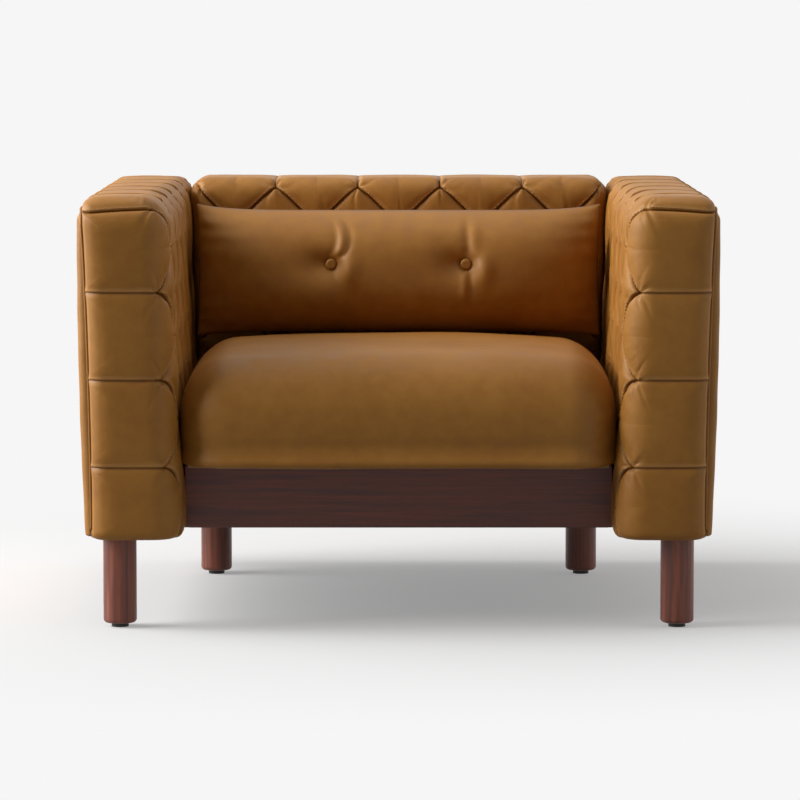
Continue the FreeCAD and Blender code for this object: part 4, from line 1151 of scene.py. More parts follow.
@dataclass(frozen=True)
class ArmForm:
    """Padded right arm: a leaning slab with large rounds in front, inside and on top."""

    front: float = -430.0
    rear: float = 420.0
    foot: float = SLAB_FOOT
    top: float = 654.0
    round: float = 42.0
    rear_round: float = 26.0
    taper_from: float = -120.0
    taper_run: float = 480.0
    outer_round: float = 30.0
    outer_top_round: float = 24.0
    slim_from: float = 560.0
    slim_run: float = 80.0
    edge_round: float = 10.0
    front_crown: float = 4.0
    top_crown: float = 3.0
    crown_width: float = 130.0
    seam_turn: float = 1.22
    girth_axis: tuple[float, float, float] = (-1.0, 1.0, 0.0)

    def outer_at(self, z: Array | float) -> Array | float:
        """Radius of the outer edge's round at a height: smaller towards the top."""
        slimmer = self.outer_top_round - self.outer_round
        return self.outer_round + slimmer * eased((z - self.slim_from) / self.slim_run)

    def distance(self, points: Array) -> Array:
        """Signed distance to the arm.

        The front and the top are crowned with the square of the way from the arm's middle. The large
        round, smaller towards the rear, joins them with the inner face, then another one joins the
        outer face.
        """
        x, y, z = points.T
        off = np.clip((2.0 * x - crown_half(z) - welt_half(z)) / self.crown_width, -1.2, 1.2) ** 2
        front = self.front + self.front_crown * off - y
        smaller = self.rear_round - self.round
        large = self.round + smaller * eased((y - self.taper_from) / self.taper_run)
        padded = soft_corner([crown_half(z) - x, front, z - self.top + self.top_crown * off], large)
        closed = soft_corner([padded, x - welt_half(z)], self.outer_at(z))
        closed = soft_corner([closed, self.foot - z], self.edge_round)
        return soft_corner([closed, y - self.rear], self.edge_round)

    def bend(self, flat: Array) -> Array:
        """Girth runs from the outer front edge over the front, round the inner edge and back.

        Rise goes up the faces, over the top and round the outer top edge. Both edges are arcs whose
        length is kept.
        """
        girth, rise = flat.T
        r, quarter = self.round, self.round * math.pi / 2
        turn = np.clip(girth / r, 0.0, math.pi / 2)
        climb = np.clip((rise - (self.top - r)) / r, 0.0, math.pi / 2)
        z = np.minimum(rise, self.top - r) + r * np.sin(climb)
        over = np.maximum(rise - (self.top - r) - quarter, 0.0)
        edge, width = self.outer_at(z), welt_half(z) - crown_half(z) - r - self.outer_at(z)
        ahead = np.clip((-girth - width) / edge, 0.0, math.pi / 2)
        beyond = np.clip((over - width) / edge, 0.0, math.pi / 2)
        inset = r - r * np.cos(climb) * np.sin(turn) + np.clip(-girth, 0.0, width) + np.minimum(over, width)
        inset = inset + edge * (np.sin(ahead) + np.sin(beyond))
        y = self.front + r - r * np.cos(climb) * np.cos(turn) + np.maximum(girth - quarter, 0.0)
        y = y + edge * (1.0 - np.cos(ahead))
        return np.stack([crown_half(z) + inset, y, z - edge * (1.0 - np.cos(beyond))], axis=1)

    def outer_seam(self, foot: float) -> Array:
        """Rough line of the outer seam: up the front edge, over the corner and back along the top."""
        r, turn = self.round, np.linspace(0.0, math.pi / 2, 14)[1:-1]
        up, knee = np.linspace(foot, self.top - r, 50), self.top - r + r * np.sin(turn)
        rounds = [self.outer_at(up), self.outer_at(knee), self.outer_at(np.full(2, self.top))]
        wide = [welt_half(up), welt_half(knee), welt_half(np.full(2, self.top))]
        x = np.concatenate([w - e * (1.0 - math.sin(self.seam_turn)) for w, e in zip(wide, rounds)])
        sunk = [e * (1.0 - math.cos(self.seam_turn)) for e in rounds]
        back = [self.front + r + 4.0, self.rear - 3.0]
        y = [self.front + sunk[0], self.front + r - (r - sunk[1]) * np.cos(turn), back]
        z = [up, self.top - r + (r - sunk[1]) * np.sin(turn), self.top - sunk[2]]
        return np.stack([x, np.concatenate(y), np.concatenate(z)], axis=1)


@dataclass
class Arm:
    """One arm: sewn leather cover, topstitching, foam, welt and the panel outside."""

    side: str
    tuft_depth: float = 135.0
    tuft_height: float = 132.0
    tuft_columns: int = 13
    tuft_rows: int = 8
    first_girth: float = 26.0
    top_seam: float = 643.0
    corner_drop: float = 7.0
    knee_limit: float = 25.0
    outer_limit: float = -90.0
    front_limit: float = -60.0
    corner_foot: float = 620.0
    corner_margin: float = 3.0
    corner_middle: tuple[float, float] = (48.0, 66.0)
    foot_middle: float = 400.0
    rear_middle: float = 405.0
    welt_foot: float = 152.0
    welt_radius: float = 2.4
    welt_sunk: float = 2.6
    form: ArmForm = field(default_factory=ArmForm)

    @property
    def rear_girth(self) -> float:
        """Flat place of the rear edge."""
        form = self.form
        return round(form.round * math.pi / 2 + form.rear - form.front - form.round, 2)

    @property
    def edge_rise(self) -> float:
        """Flat place of the outer top seam."""
        form = self.form
        edge = float(form.outer_at(form.top))
        width = float(welt_half(form.top) - crown_half(form.top)) - form.round - edge
        return round(form.top - form.round + form.round * math.pi / 2 + width + edge * form.seam_turn, 2)

    def outer(self, rise: float) -> Flat:
        """Flat place of the outer front seam at a height."""
        form = self.form
        z = min(rise, form.top - form.round + self.knee_limit)
        edge = float(form.outer_at(z))
        girth = -float(welt_half(z) - crown_half(z) - form.round - edge) - edge * form.seam_turn
        return (round(girth, 2), round(rise, 2))

    def tuft(self, i: int, j: int) -> Flat:
        """Flat place of a tuft, counted from the front and from the top in halves of a diamond."""
        girth, rise = self.first_girth + self.tuft_depth / 2 * i, self.top_seam - self.tuft_height / 2 * j
        return (round(girth, 2), round(rise, 2))

    def kind_of(self, start: Flat, end: Flat) -> Seam:
        """Kind of the seam between two corners of a panel."""
        ends = (start, end)
        if all(near(p[1], self.form.foot) for p in ends) or all(near(p[0], self.rear_girth) for p in ends):
            return Seam.PLAIN
        if all(near(p[1], self.edge_rise) for p in ends) or all(p[0] < self.outer_limit for p in ends):
            return Seam.WELTED
        if near(start[0], end[0]):
            return Seam.CROSS
        return Seam.STRAIGHT if near(start[1], end[1]) else Seam.DIAGONAL

    def panels(self) -> list[list[Flat]]:
        """Corners of the flat panels: down the front, the diamonds inside, and those over the top."""
        tuft, outer = self.tuft, self.outer
        panels = []
        for j in range(0, self.tuft_rows, 2):
            upper, lower = tuft(0, j), tuft(0, j + 2)
            head = outer(upper[1] - (self.corner_drop if j == 0 else 0.0))
            panels.append([head, upper, tuft(1, j + 1), lower, outer(lower[1])])
        for i in range(1, self.tuft_columns + 1):
            for j in range(1, self.tuft_rows + 1):
                if (i + j) % 2 == 1:
                    panels.append(diamond(*tuft(i, j), self.tuft_depth / 2, self.tuft_height / 2))
        for i in range(2, self.tuft_columns + 1, 2):
            left, right = tuft(i, 0), tuft(i + 2, 0)
            panels.append([left, tuft(i + 1, 1), right, (right[0], self.edge_rise), (left[0], self.edge_rise)])
        return panels

    def cover(self) -> tuple[Piece, Piece]:
        """Sews the cover: front panels, diamonds inside, panels over the top and the closing faces."""
        foot = self.form.foot
        shell = SewnShell(self.form, 3.4, 2.6, 7 if self.side == "right" else 19, 9.0)
        pairs = [(i, j) for i in range(self.tuft_columns) for j in range(self.tuft_rows) if (i + j) % 2 == 0]
        shell.mark_tufts([place for place in (self.tuft(i, j) for i, j in pairs) if place[1] > foot])
        border: set[Flat] = set()
        for corners in self.panels():
            corners = clipped(corners, 0.0, foot, -1.0, 1)
            corners = clipped(corners, 0.0, self.rear_girth, 1.0, 0)
            corners = [self.outer(foot) if c[0] < self.front_limit and c[1] < foot + 0.1 else c for c in corners]
            if len(corners) > 2:
                shell.flat_panel(corners, self.kind_of)
                border.update(corners)
        self.close(shell, border)
        mirror = self.side == "left"
        cover = shell.skin.build(f"{self.side}_arm_sewn_cover", mirror)
        return cover, shell.topstitch().build(f"{self.side}_arm_topstitch", mirror, weld=False)

    def corner(self, shell: SewnShell) -> Side:
        """Adds the panel over the front corner of the top, and gives the welted seam over the corner."""
        form, tuft = self.form, self.tuft
        front_top, first_top = self.outer(self.top_seam - self.corner_drop), (tuft(2, 0)[0], self.edge_rise)
        low, high = shell.knot(front_top)[0], shell.knot(first_top)[0]
        contour = form.outer_seam(self.corner_foot)
        above = contour[:, 2] > low[2] + self.corner_margin
        before = contour[:, 1] < high[1] - self.corner_margin
        way = np.concatenate([low[None], contour[above & before], high[None]])
        over = shell.seam(front_top, first_top, Seam.WELTED, way=way)
        loop = [
            shell.seam(front_top, tuft(0, 0), Seam.STRAIGHT, Lap.OVER),
            shell.seam(tuft(0, 0), tuft(1, 1), Seam.DIAGONAL, Lap.OVER),
            shell.seam(tuft(1, 1), tuft(2, 0), Seam.DIAGONAL, Lap.OVER),
            shell.seam(tuft(2, 0), first_top, Seam.CROSS, Lap.FLAT),
            over.turned(),
        ]
        inwards, back = self.corner_middle
        middle = np.array([[crown_half(650.0) + inwards, form.front + back, form.top]])
        shell.panel(loop, settled(form, middle)[0])
        return over

    def close(self, shell: SewnShell, border: set[Flat]) -> None:
        """Adds the front corner panel over the top, and the outer, lower and rear faces."""
        form, heel = self.form, "outer_rear_foot"
        shell.knot(heel, np.array([float(welt_half(form.foot)), form.rear, form.foot]))
        over = self.corner(shell)
        fronts = sorted({c for c in border if c[0] < self.outer_limit}, key=lambda c: c[1])
        tops = sorted({c for c in border if near(c[1], self.edge_rise)}, key=lambda c: c[0])
        rears = sorted({c for c in border if near(c[0], self.rear_girth)}, key=lambda c: c[1])
        feet = sorted({c for c in border if near(c[1], form.foot)}, key=lambda c: c[0])
        rear_upright = shell.straight((self.rear_girth, self.edge_rise), heel, Seam.PLAIN)
        outer_foot = shell.straight(heel, fronts[0], Seam.PLAIN)
        rear_foot = shell.straight(feet[-1], heel, Seam.PLAIN)
        y, z = (form.front + form.rear) / 2, (form.foot + form.top) / 2
        outer_loop = shell.chain(fronts, Seam.WELTED) + [over] + shell.chain(tops, Seam.WELTED)
        shell.panel(outer_loop + [rear_upright, outer_foot], np.array([welt_half(z), y, z]))
        foot_loop = shell.chain(feet, Seam.PLAIN) + [rear_foot, outer_foot]
        shell.panel(foot_loop, np.array([self.foot_middle, y, form.foot]))
        rear_loop = shell.chain(rears, Seam.PLAIN) + [rear_upright, rear_foot.turned()]
        shell.panel(rear_loop, np.array([self.rear_middle, form.rear, z]))

    def foam(self) -> Piece:
        """Foam under the cover."""
        form = self.form
        low = np.array([crown_half(form.foot), form.front, form.foot])
        high = np.array([welt_half(form.top), form.rear, form.top])
        return foam_body(f"{self.side}_arm_foam_body", form, low, high, (16, 60, 40), self.side == "left")

    def welt(self) -> Piece:
        """Leather-covered cord up the front of the outer seam and back along its top."""
        seam = settled(self.form, resampled(self.form.outer_seam(self.welt_foot), 5.0))
        path = seam - self.welt_sunk * outward(self.form, seam)
        return tube(f"{self.side}_arm_piped_welt", path, self.welt_radius, self.side == "left")

    def outside(self) -> Piece:
        """The leather panel outside, with shallow pulls along its welted edge."""
        form = OutsideForm()
        low = np.array([form.inner_half, form.front, form.foot])
        high = np.array([form.half + 1.0, form.rear, form.top])
        points, faces = box_skin(form, low, high, (8, 150, 96), 0.55)
        x, y, z = points.T
        rim = np.maximum(np.minimum(np.minimum(y - form.front, form.top - z), z - form.foot), 0.0)
        outer = np.clip((x - form.inner_half) / (form.bow(z) - form.inner_half), 0.0, 1.0)
        pull = np.exp(-rim / 16.0) * (0.5 + 0.5 * np.sin(z / 13.0 + y / 15.0))
        points[:, 0] += outer * (0.6 * ripple(points * 0.8) - 0.9 * pull - 0.4)
        # Painted shade along the welted rim, as in the seams.
        name, crease = f"{self.side}_arm_outside_leather", 0.5 * np.exp(-rim / 2.5)
        return skinned(name, points, faces, crease, 0.2, self.side == "left")

    def build(self, shop: Workshop) -> None:
        """Builds the arm's pieces and dresses them."""
        node = f"{self.side}_arm"
        cover, stitches = self.cover()
        shop.dress(cover, "chair", "saddle_leather", replaced=(f"{node}_tufted_cover",))
        shop.dress(stitches, "chair", "waxed_twine", TOPSTITCH)
        shop.dress(self.foam(), "chair", "foam", replaced=(f"{node}_foam",))
        shop.dress(self.welt(), "chair", "saddle_leather", replaced=(f"{node}_welt",))
        shop.dress(self.outside(), "chair", "saddle_leather", replaced=(f"{node}_outside_panel",))


@dataclass(frozen=True)
class OutsideForm:
    """Outside panel of the right arm: a thin slab between the cover and a bow of one radius."""

    foot: float = 141.0
    top: float = 634.0
    front: float = -408.0
    rear: float = 420.0
    widest: float = 560.0
    foot_half: float = 474.5
    half: float = 485.0
    inner_half: float = 466.0
    round: float = 16.0
    foot_round: float = 4.0
    edge_round: float = 0.6

    def bow(self, z: Array) -> Array:
        """Half width at a height: a circle through the foot that is widest near the top."""
        rise, drop = self.widest - self.foot, self.half - self.foot_half
        radius = (rise * rise + drop * drop) / (2 * drop)
        return self.half - radius + np.sqrt(radius**2 - (z - self.widest) ** 2)

    def distance(self, points: Array) -> Array:
        """Signed distance to the panel, rounded all round its outer edge."""
        x, y, z = points.T
        edge = soft_corner([x - self.bow(z), self.front - y, z - self.top], self.round)
        outer = soft_corner([edge, self.foot - z], self.foot_round)
        return soft_corner([outer, self.inner_half - x, y - self.rear], self.edge_round)


# Back


@dataclass(frozen=True)
class BackForm:
    """Padded back between the arms, rounded in front, at its ends and on top."""

    front: float = 250.0
    rear: float = 420.0
    foot: float = 245.5
    top: float = 656.0
    round: float = 30.0
    foot_round: float = 3.0
    rear_round: float = 5.0
    side_gap: float = 0.4
    girth_axis: tuple[float, float, float] = (1.0, 0.0, 0.0)

    def half(self, z: Array | float) -> Array | float:
        """Half the back's width at a height."""
        return crown_half(z) - self.side_gap

    def distance(self, points: Array) -> Array:
        """Signed distance to the back, its faces joined by the large round and then small ones."""
        x, y, z = points.T
        padded = soft_corner([np.abs(x) - self.half(z), self.front - y, z - self.top], self.round)
        closed = soft_corner([padded, self.foot - z], self.foot_round)
        return soft_corner([closed, y - self.rear], self.rear_round)

    def bend(self, flat: Array) -> Array:
        """Girth runs along X and round the ends; rise goes up the front and back over the top."""
        girth, rise = flat.T
        r, quarter = self.round, self.round * math.pi / 2
        climb = np.clip((rise - (self.top - r)) / r, 0.0, math.pi / 2)
        z = np.minimum(rise, self.top - r) + r * np.sin(climb)
        limit = self.half(z) - r
        turn = np.clip((np.abs(girth) - limit) / r, 0.0, math.pi / 2)
        x = np.minimum(np.abs(girth), limit) + r * np.cos(climb) * np.sin(turn)
        over = np.maximum(rise - (self.top - r) - quarter, 0.0)
        y = self.front + r - r * np.cos(climb) * np.cos(turn) + over
        return np.stack([np.sign(girth) * x, y, z], axis=1)


@dataclass
class Back:
    """Tufted back: sewn cover, topstitching and foam."""

    tuft_height: float = 132.0
    tuft_columns: int = 5
    tuft_rows: int = 6
    top_seam: float = 646.0
    reach_share: float = 0.785
    end_middle: tuple[float, float] = (268.0, 70.0)
    form: BackForm = field(default_factory=BackForm)

    def end_girth(self, rise: float) -> float:
        """Flat place of the back's end, halfway round its upright edge."""
        return float(self.form.half(min(rise, self.top_seam)) - self.form.round * (1.0 - self.reach_share))

    @property
    def half_girth(self) -> float:
        """Half the width of a diamond."""
        return self.end_girth(self.top_seam) / self.tuft_columns

    @property
    def end_slope(self) -> float:
        """Change of the end's flat place with the height."""
        return (self.end_girth(600.0) - self.end_girth(300.0)) / 300.0

    @property
    def rear_rise(self) -> float:
        """Flat place of the rear top edge."""
        form = self.form
        return round(form.top - form.round + form.round * math.pi / 2 + form.rear - form.front - form.round, 2)

    def tuft(self, i: int, j: int) -> Flat:
        """Flat place of a tuft, counted from the middle and from the top in halves of a diamond."""
        return (round(self.half_girth * i, 2), round(self.top_seam - self.tuft_height / 2 * j, 2))

    def past_end(self, place: Flat) -> float:
        """How far a flat place lies past the back's end."""
        return abs(place[0]) - self.end_girth(0.0) - self.end_slope * place[1]

    def on_end(self, place: Flat) -> bool:
        """Whether a flat place lies on the back's end."""
        return abs(self.past_end(place)) < 0.06

    def kind_of(self, start: Flat, end: Flat) -> Seam:
        """Kind of the seam between two corners of a panel."""
        ends = (start, end)
        if all(near(p[1], self.form.foot) for p in ends) or all(self.on_end(p) for p in ends):
            return Seam.PLAIN
        if all(near(p[1], self.rear_rise) for p in ends):
            return Seam.WELTED
        return Seam.STRAIGHT if near(start[0], end[0]) else Seam.DIAGONAL

    def panels(self) -> list[list[Flat]]:
        """Corners of the flat panels, cut off at the foot and at both ends.

        A diamond's corner can miss its tuft's key by a hundredth, which leaves the seams open there.
        """
        half_v, columns = self.tuft_height / 2, self.tuft_columns + 1
        panels = [
            diamond(*self.tuft(i, j), self.half_girth, half_v)
            for i in range(-columns, columns + 1)
            for j in range(1, self.tuft_rows + 2)
            if (i + j) % 2 == 0
        ]
        for i in (-3, -1, 1):
            left, right = self.tuft(i, 0), self.tuft(i + 2, 0)
            top = [(right[0], self.rear_rise), (left[0], self.rear_rise)]
            panels.append([left, self.tuft(i + 1, 1), right, *top])
        cut = []
        for corners in panels:
            corners = clipped(corners, 0.0, self.form.foot, -1.0, 1)
            for _ in range(2):
                corners = clipped(corners, self.end_slope, self.end_girth(0.0), 1.0, 0)
                corners = [(-girth, rise) for girth, rise in corners][::-1]
            corners = [c for k, c in enumerate(corners) if c != corners[k - 1]]
            if len(corners) > 2:
                cut.append(corners)
        return cut

    def cover(self) -> tuple[Piece, Piece]:
        """Sews the cover: diamonds in front, panels over the top and the closing faces."""
        shell = SewnShell(self.form, 3.4, 1.9, 31)
        columns = range(-self.tuft_columns, self.tuft_columns + 1)
        tufts = [self.tuft(i, j) for i in columns for j in range(self.tuft_rows) if (i + j) % 2 == 1]
        shell.mark_tufts([place for place in tufts if self.past_end(place) <= 0.5])
        border: set[Flat] = set()
        for corners in self.panels():
            shell.flat_panel(corners, self.kind_of)
            border.update(corners)
        self.close(shell, border)
        cover = shell.skin.build("back_sewn_cover")
        return cover, shell.topstitch().build("back_topstitch", weld=False)

    def foam(self) -> Piece:
        """Foam under the cover."""
        form, half = self.form, float(self.form.half(self.form.top))
        low, high = np.array([-half, form.front, form.foot]), np.array([half, form.rear, form.top])
        return foam_body("back_foam_body", form, low, high, (60, 16, 40))

    def end(self, shell: SewnShell, border: set[Flat], sign: int) -> tuple[Side, Side, Side]:
        """Adds one end: its panel over the top and its closing face.

        Args:
            shell: The shell with its flat panels.
            border: Corners of those panels.
            sign: -1 for the left end, 1 for the right one.

        Returns:
            The end's seam along the rear top, its rear upright and its foot.
        """
        form, tuft = self.form, self.tuft
        head, heel = (f"{'left' if sign < 0 else 'right'}_rear_{part}" for part in ("head", "foot"))
        high, low = float(form.half(form.top)), float(form.half(form.foot))
        shell.knot(head, np.array([sign * high, form.rear, form.top]))
        shell.knot(heel, np.array([sign * low, form.rear, form.foot]))
        last, seam_end = tuft(5 * sign, 0), (tuft(3 * sign, 0)[0], self.rear_rise)
        shoulder = settled(form, np.array([[sign * high, form.front + form.round, form.top]]))
        way = np.concatenate([shell.knot(last)[0][None], shoulder, shell.knot(head)[0][None]])
        over = shell.seam(last, head, Seam.PLAIN, way=way)
        rear_top = shell.straight(seam_end, head, Seam.WELTED)
        loop = [
            shell.seam(tuft(3 * sign, 0), tuft(4 * sign, 1), Seam.DIAGONAL, Lap.OVER),
            shell.seam(tuft(4 * sign, 1), last, Seam.DIAGONAL, Lap.OVER),
            over,
            rear_top.turned(),
            shell.seam(seam_end, tuft(3 * sign, 0), Seam.STRAIGHT, Lap.OVER if sign > 0 else Lap.UNDER),
        ]
        across, back = self.end_middle
        shell.panel(loop, settled(form, np.array([[sign * across, form.front + back, form.top]]))[0])
        ends = sorted({c for c in border if self.on_end(c) and c[0] * sign > 0}, key=lambda c: c[1])
        upright, foot_end = shell.straight(head, heel, Seam.PLAIN), shell.straight(heel, ends[0], Seam.PLAIN)
        z = (form.foot + form.top) / 2
        middle = np.array([sign * float(form.half(z)), (form.front + form.rear) / 2, z])
        shell.panel(shell.chain(ends, Seam.PLAIN) + [over, upright, foot_end], middle)
        return rear_top, upright, foot_end

    def close(self, shell: SewnShell, border: set[Flat]) -> None:
        """Adds the end panels over the top, and the end, lower and rear faces."""
        form = self.form
        left_top, left_upright, left_foot = self.end(shell, border, -1)
        right_top, right_upright, right_foot = self.end(shell, border, 1)
        feet, tops = (
            sorted({c for c in border if near(c[1], level)}, key=lambda c: c[0])
            for level in (form.foot, self.rear_rise)
        )
        rear_foot = shell.straight("left_rear_foot", "right_rear_foot", Seam.PLAIN).turned()
        foot_loop = shell.chain(feet, Seam.PLAIN) + [right_foot.turned(), rear_foot, left_foot]
        shell.panel(foot_loop, np.array([0.0, (form.front + form.rear) / 2, form.foot]))
        rear_loop = shell.chain(tops, Seam.WELTED) + [right_top, right_upright, rear_foot]
        rear_loop += [left_upright.turned(), left_top.turned()]
        shell.panel(rear_loop, np.array([0.0, form.rear, (form.foot + form.top) / 2]))

    def build(self, shop: Workshop) -> None:
        """Builds the back's pieces and dresses them."""
        cover, stitches = self.cover()
        shop.dress(cover, "chair", "saddle_leather", replaced=("back_tufted_cover",))
        shop.dress(stitches, "chair", "waxed_twine", TOPSTITCH)
        shop.dress(self.foam(), "chair", "foam", replaced=("back_foam",))


@dataclass(frozen=True)
class OutsideBackForm:
    """Leather panel behind the back: a thin slab as wide as the arms' outer seams."""

    front: float = 420.2
    rear: float = 429.4
    foot: float = 141.0
    top: float = 631.0
    side_reach: float = 2.0
    round: float = 6.0
    edge_round: float = 1.0

    def distance(self, points: Array) -> Array:
        """Signed distance to the slab, rounded round its rear face."""
        x, y, z = points.T
        side = np.abs(x) - welt_half(z) - self.side_reach
        edge = soft_corner([side, y - self.rear, z - self.top], self.round)
        return soft_corner([edge, self.foot - z, self.front - y], self.edge_round)


@dataclass
class OutsideBack:
    """The panel behind the back and the welt sewn in round it."""

    form: OutsideBackForm = field(default_factory=OutsideBackForm)
    box_half: float = 486.0
    welt_radius: float = 3.0
    welt_y: float = 422.0
    welt_bend: float = 16.0
    welt_foot: float = 9.0

    def panel(self) -> Piece:
        """The panel, with shallow pulls along its welted edge and a slow wave from the frame behind it."""
        form, half = self.form, self.box_half
        low, high = np.array([-half, form.front, form.foot]), np.array([half, form.rear, form.top])
        points, faces = box_skin(form, low, high, (170, 4, 100), 0.4)
        x, y, z = points.T
        rim = np.maximum(np.minimum(np.minimum(welt_half(z) - np.abs(x), form.top - z), z - form.foot), 0.0)
        pull = np.exp(-rim / 18.0) * (0.5 + 0.5 * np.sin(x / 14.0 + z / 12.0))
        share = np.clip((y - form.front) / (form.rear - form.front), 0.0, 1.0)
        points[:, 1] += share * (0.7 * ripple(points * 0.6) - 1.1 * pull - 0.6)
        # Painted shade along the welted rim, as in the seams.
        return skinned("back_outside_leather", points, faces, 0.5 * np.exp(-rim / 2.5), 0.1)

    def welt(self) -> Piece:
        """Leather-covered cord up one side, over the top in two bends and down the other side."""
        bend, head = self.welt_bend, self.form.top
        up = np.linspace(self.form.foot + self.welt_foot, head - bend, 60)
        turn = np.linspace(0.0, math.pi / 2, 9)[1:]
        x = np.concatenate([welt_half(up), float(welt_half(head)) - bend + bend * np.cos(turn)])
        z = np.concatenate([up, head - bend + bend * np.sin(turn)])
        side = np.stack([x, np.full(len(x), self.welt_y), z], axis=1)
        path = np.concatenate([side, side[::-1] * np.array([-1.0, 1.0, 1.0])])
        return tube("back_piped_welt", resampled(path, 5.0), self.welt_radius)

    def build(self, shop: Workshop) -> None:
        """Builds the panel and its welt and dresses them."""
        shop.dress(self.panel(), "chair", "saddle_leather", replaced=("outside_back_panel",))
        shop.dress(self.welt(), "chair", "saddle_leather", replaced=("outside_back_welt",))


# Cushions


def foam_inside(cover: Piece, name: str, depth: float) -> Piece:
    """Foam core of a cushion: the cover's form, every point moved inwards by the leather's thickness.

    Args:
        cover: The cushion's cover.
        name: Name of the core.
        depth: Thickness of leather and gap.

    Returns:
        The core.
    """
    mesh = cover.data.copy()
    mesh.name = name
    count = len(mesh.vertices)
    points, away = np.zeros(count * 3), np.zeros(count * 3)
    mesh.vertices.foreach_get("co", points)
    mesh.vertices.foreach_get("normal", away)
    mesh.vertices.foreach_set("co", points - away * depth * MM)
    mesh.update()
    return placed(name, mesh)


@dataclass(frozen=True)
class SeatForm:
    """Seat cushion: a crowned block with a full front shoulder and softer sides."""

    half: float = 331.9
    front: float = -415.0
    rear: float = 243.6
    foot: float = 245.6
    crown: float = 422.0
    crown_y: float = -130.0
    front_fall: float = 1.25e-4
    rear_fall: float = 1.74e-4
    side_fall: float = 16.0
    belly: float = 5.0
    front_round: float = 85.0
    side_round: float = 74.0
    foot_round: float = 11.0
    rear_round: float = 60.0

    def top(self, x: Array, y: Array) -> Array:
        """Height of the top: it falls with the square of the way from the crown, the cube to the sides."""
        away = y - self.crown_y
        fall = np.where(away < 0, self.front_fall, self.rear_fall) * away**2
        return self.crown - fall - self.side_fall * np.abs(x / self.half) ** 3

    def distance(self, points: Array) -> Array:
        """Signed distance to the cushion, its shoulder first, then its sides, foot and rear.

        The front bellies out between the foot and the shoulder.
        """
        x, y, z = points.T
        belly = self.belly * np.clip((z - self.foot) / 60.0, 0.0, 1.0) * np.clip((400.0 - z) / 80.0, 0.0, 1.0)
        front = self.front + self.belly - belly - y
        shoulder = soft_corner([front, z - self.top(x, y)], self.front_round)
        sides = soft_corner([shoulder, np.abs(x) - self.half], self.side_round)
        closed = soft_corner([sides, self.foot - z], self.foot_round)
        return soft_corner([closed, y - self.rear], self.rear_round)


@dataclass(frozen=True)
class Crease:
    """A shallow arc on the seat's top: its middle, its half length, its width and its depth."""

    x: float
    y: float
    half: float
    width: float
    depth: float

    def lift(self, x: Array, y: Array) -> Array:
        """Change of height: a valley along the arc, and half as much of a wider ridge behind it."""
        across, bow = x - self.x, y - self.y - 0.0016 * (x - self.x) ** 2
        ends = (across / self.half) ** 4
        valley = np.exp(-((bow / self.width) ** 2) - ends)
        ridge = np.exp(-(((bow - 2.4 * self.width) / (1.6 * self.width)) ** 2) - ends)
        return self.depth * (0.5 * ridge - valley)


@dataclass
class SeatCushion:
    """Loose seat cushion with a rolled lip at its lower front edge and creases where people sit."""

    form: SeatForm = field(default_factory=SeatForm)
    lip: float = 8.5
    lip_hollow: float = 1.8
    leather: float = 3.5
    creases: tuple[Crease, ...] = (
        Crease(-212.0, -58.0, 60.0, 3.2, 1.5),
        Crease(-150.0, -22.0, 44.0, 2.6, 1.0),
        Crease(-6.0, -46.0, 62.0, 3.0, 1.4),
        Crease(38.0, -12.0, 40.0, 2.6, 1.0),
        Crease(216.0, -40.0, 54.0, 3.0, 1.4),
        Crease(268.0, -72.0, 34.0, 2.6, 1.1),
        Crease(-268.0, -96.0, 30.0, 3.0, 1.1),
        Crease(120.0, 8.0, 50.0, 2.6, 0.9),
        Crease(-70.0, 30.0, 58.0, 2.2, 1.0),
        Crease(60.0, 44.0, 46.0, 2.2, 1.0),
        Crease(-180.0, 52.0, 40.0, 2.2, 0.9),
        Crease(170.0, 70.0, 44.0, 2.2, 0.9),
    )

    def cover(self) -> Piece:
        """The cover: a box of grids settled on the form, then creased and lipped."""
        form = self.form
        low = np.array([-form.half, form.front, form.foot])
        high = np.array([form.half, form.rear, form.crown])
        points, faces = box_skin(form, low, high, (150, 150, 46), 0.45)
        away = outward(form, points)
        x, y, z = points.T
        rise = z - form.foot
        lift = 1.6 * ripple(points * 0.55) + sum(crease.lift(x, y) for crease in self.creases)
        facing = np.clip(-away[:, 1], 0.0, 1.0)
        lift = lift + facing * (self.lip * hump(rise - 3.0, 12.0) - self.lip_hollow * hump(rise - 32.0, 9.0))
        lift = np.where(away[:, 2] < -0.8, np.minimum(lift, 0.0), lift)
        # Painted seam shade in a thin band along the seam round the cushion's foot.
        seam = hump(rise - 1.5, 2.0) * (away[:, 2] > -0.9)
        points = points + away * lift[:, None]
        points[:, 0] = np.clip(points[:, 0], -form.half, form.half)
        points[:, 1] = np.minimum(points[:, 1], form.rear)
        return skinned("seat_cushion_leather", points, faces, 0.6 * seam, 0.4)

    def build(self, shop: Workshop) -> None:
        """Builds the cover and the foam inside it and dresses them."""
        cover = self.cover()
        shop.dress(cover, "seat_cushion", "saddle_leather", replaced=("seat_cushion_cover",))
        core = foam_inside(cover, "seat_cushion_foam", self.leather)
        shop.dress(core, "seat_cushion", "foam", replaced=("seat_cushion_core",))


@dataclass(frozen=True)
class Fold:
    """A fold that runs up or down from a pillow button.

    Its line across is a place, less a lean times the height, less an arch times the square of the way
    from 42 above the button. A depth below zero is a ridge.
    """

    button: float
    above: bool
    depth: float
    place: float
    width: float
    lean: float = 0.0
    arch: float = 0.0

    def pull(self, dx: Array, dz: Array) -> Array:
        """How far the fold pulls the leather in, at places measured from its button."""
        if self.above:
            reach = eased((dz - 6.0) / 16.0) * eased((84.0 - dz) / 34.0)
        else:
            reach = eased((-dz - 8.0) / 10.0) * eased((74.0 + dz) / 34.0)
        gap = dx + self.lean * dz + self.arch * ((dz - 42.0) / 26.0) ** 2 - self.place
        return self.depth * reach * hump(gap, self.width)


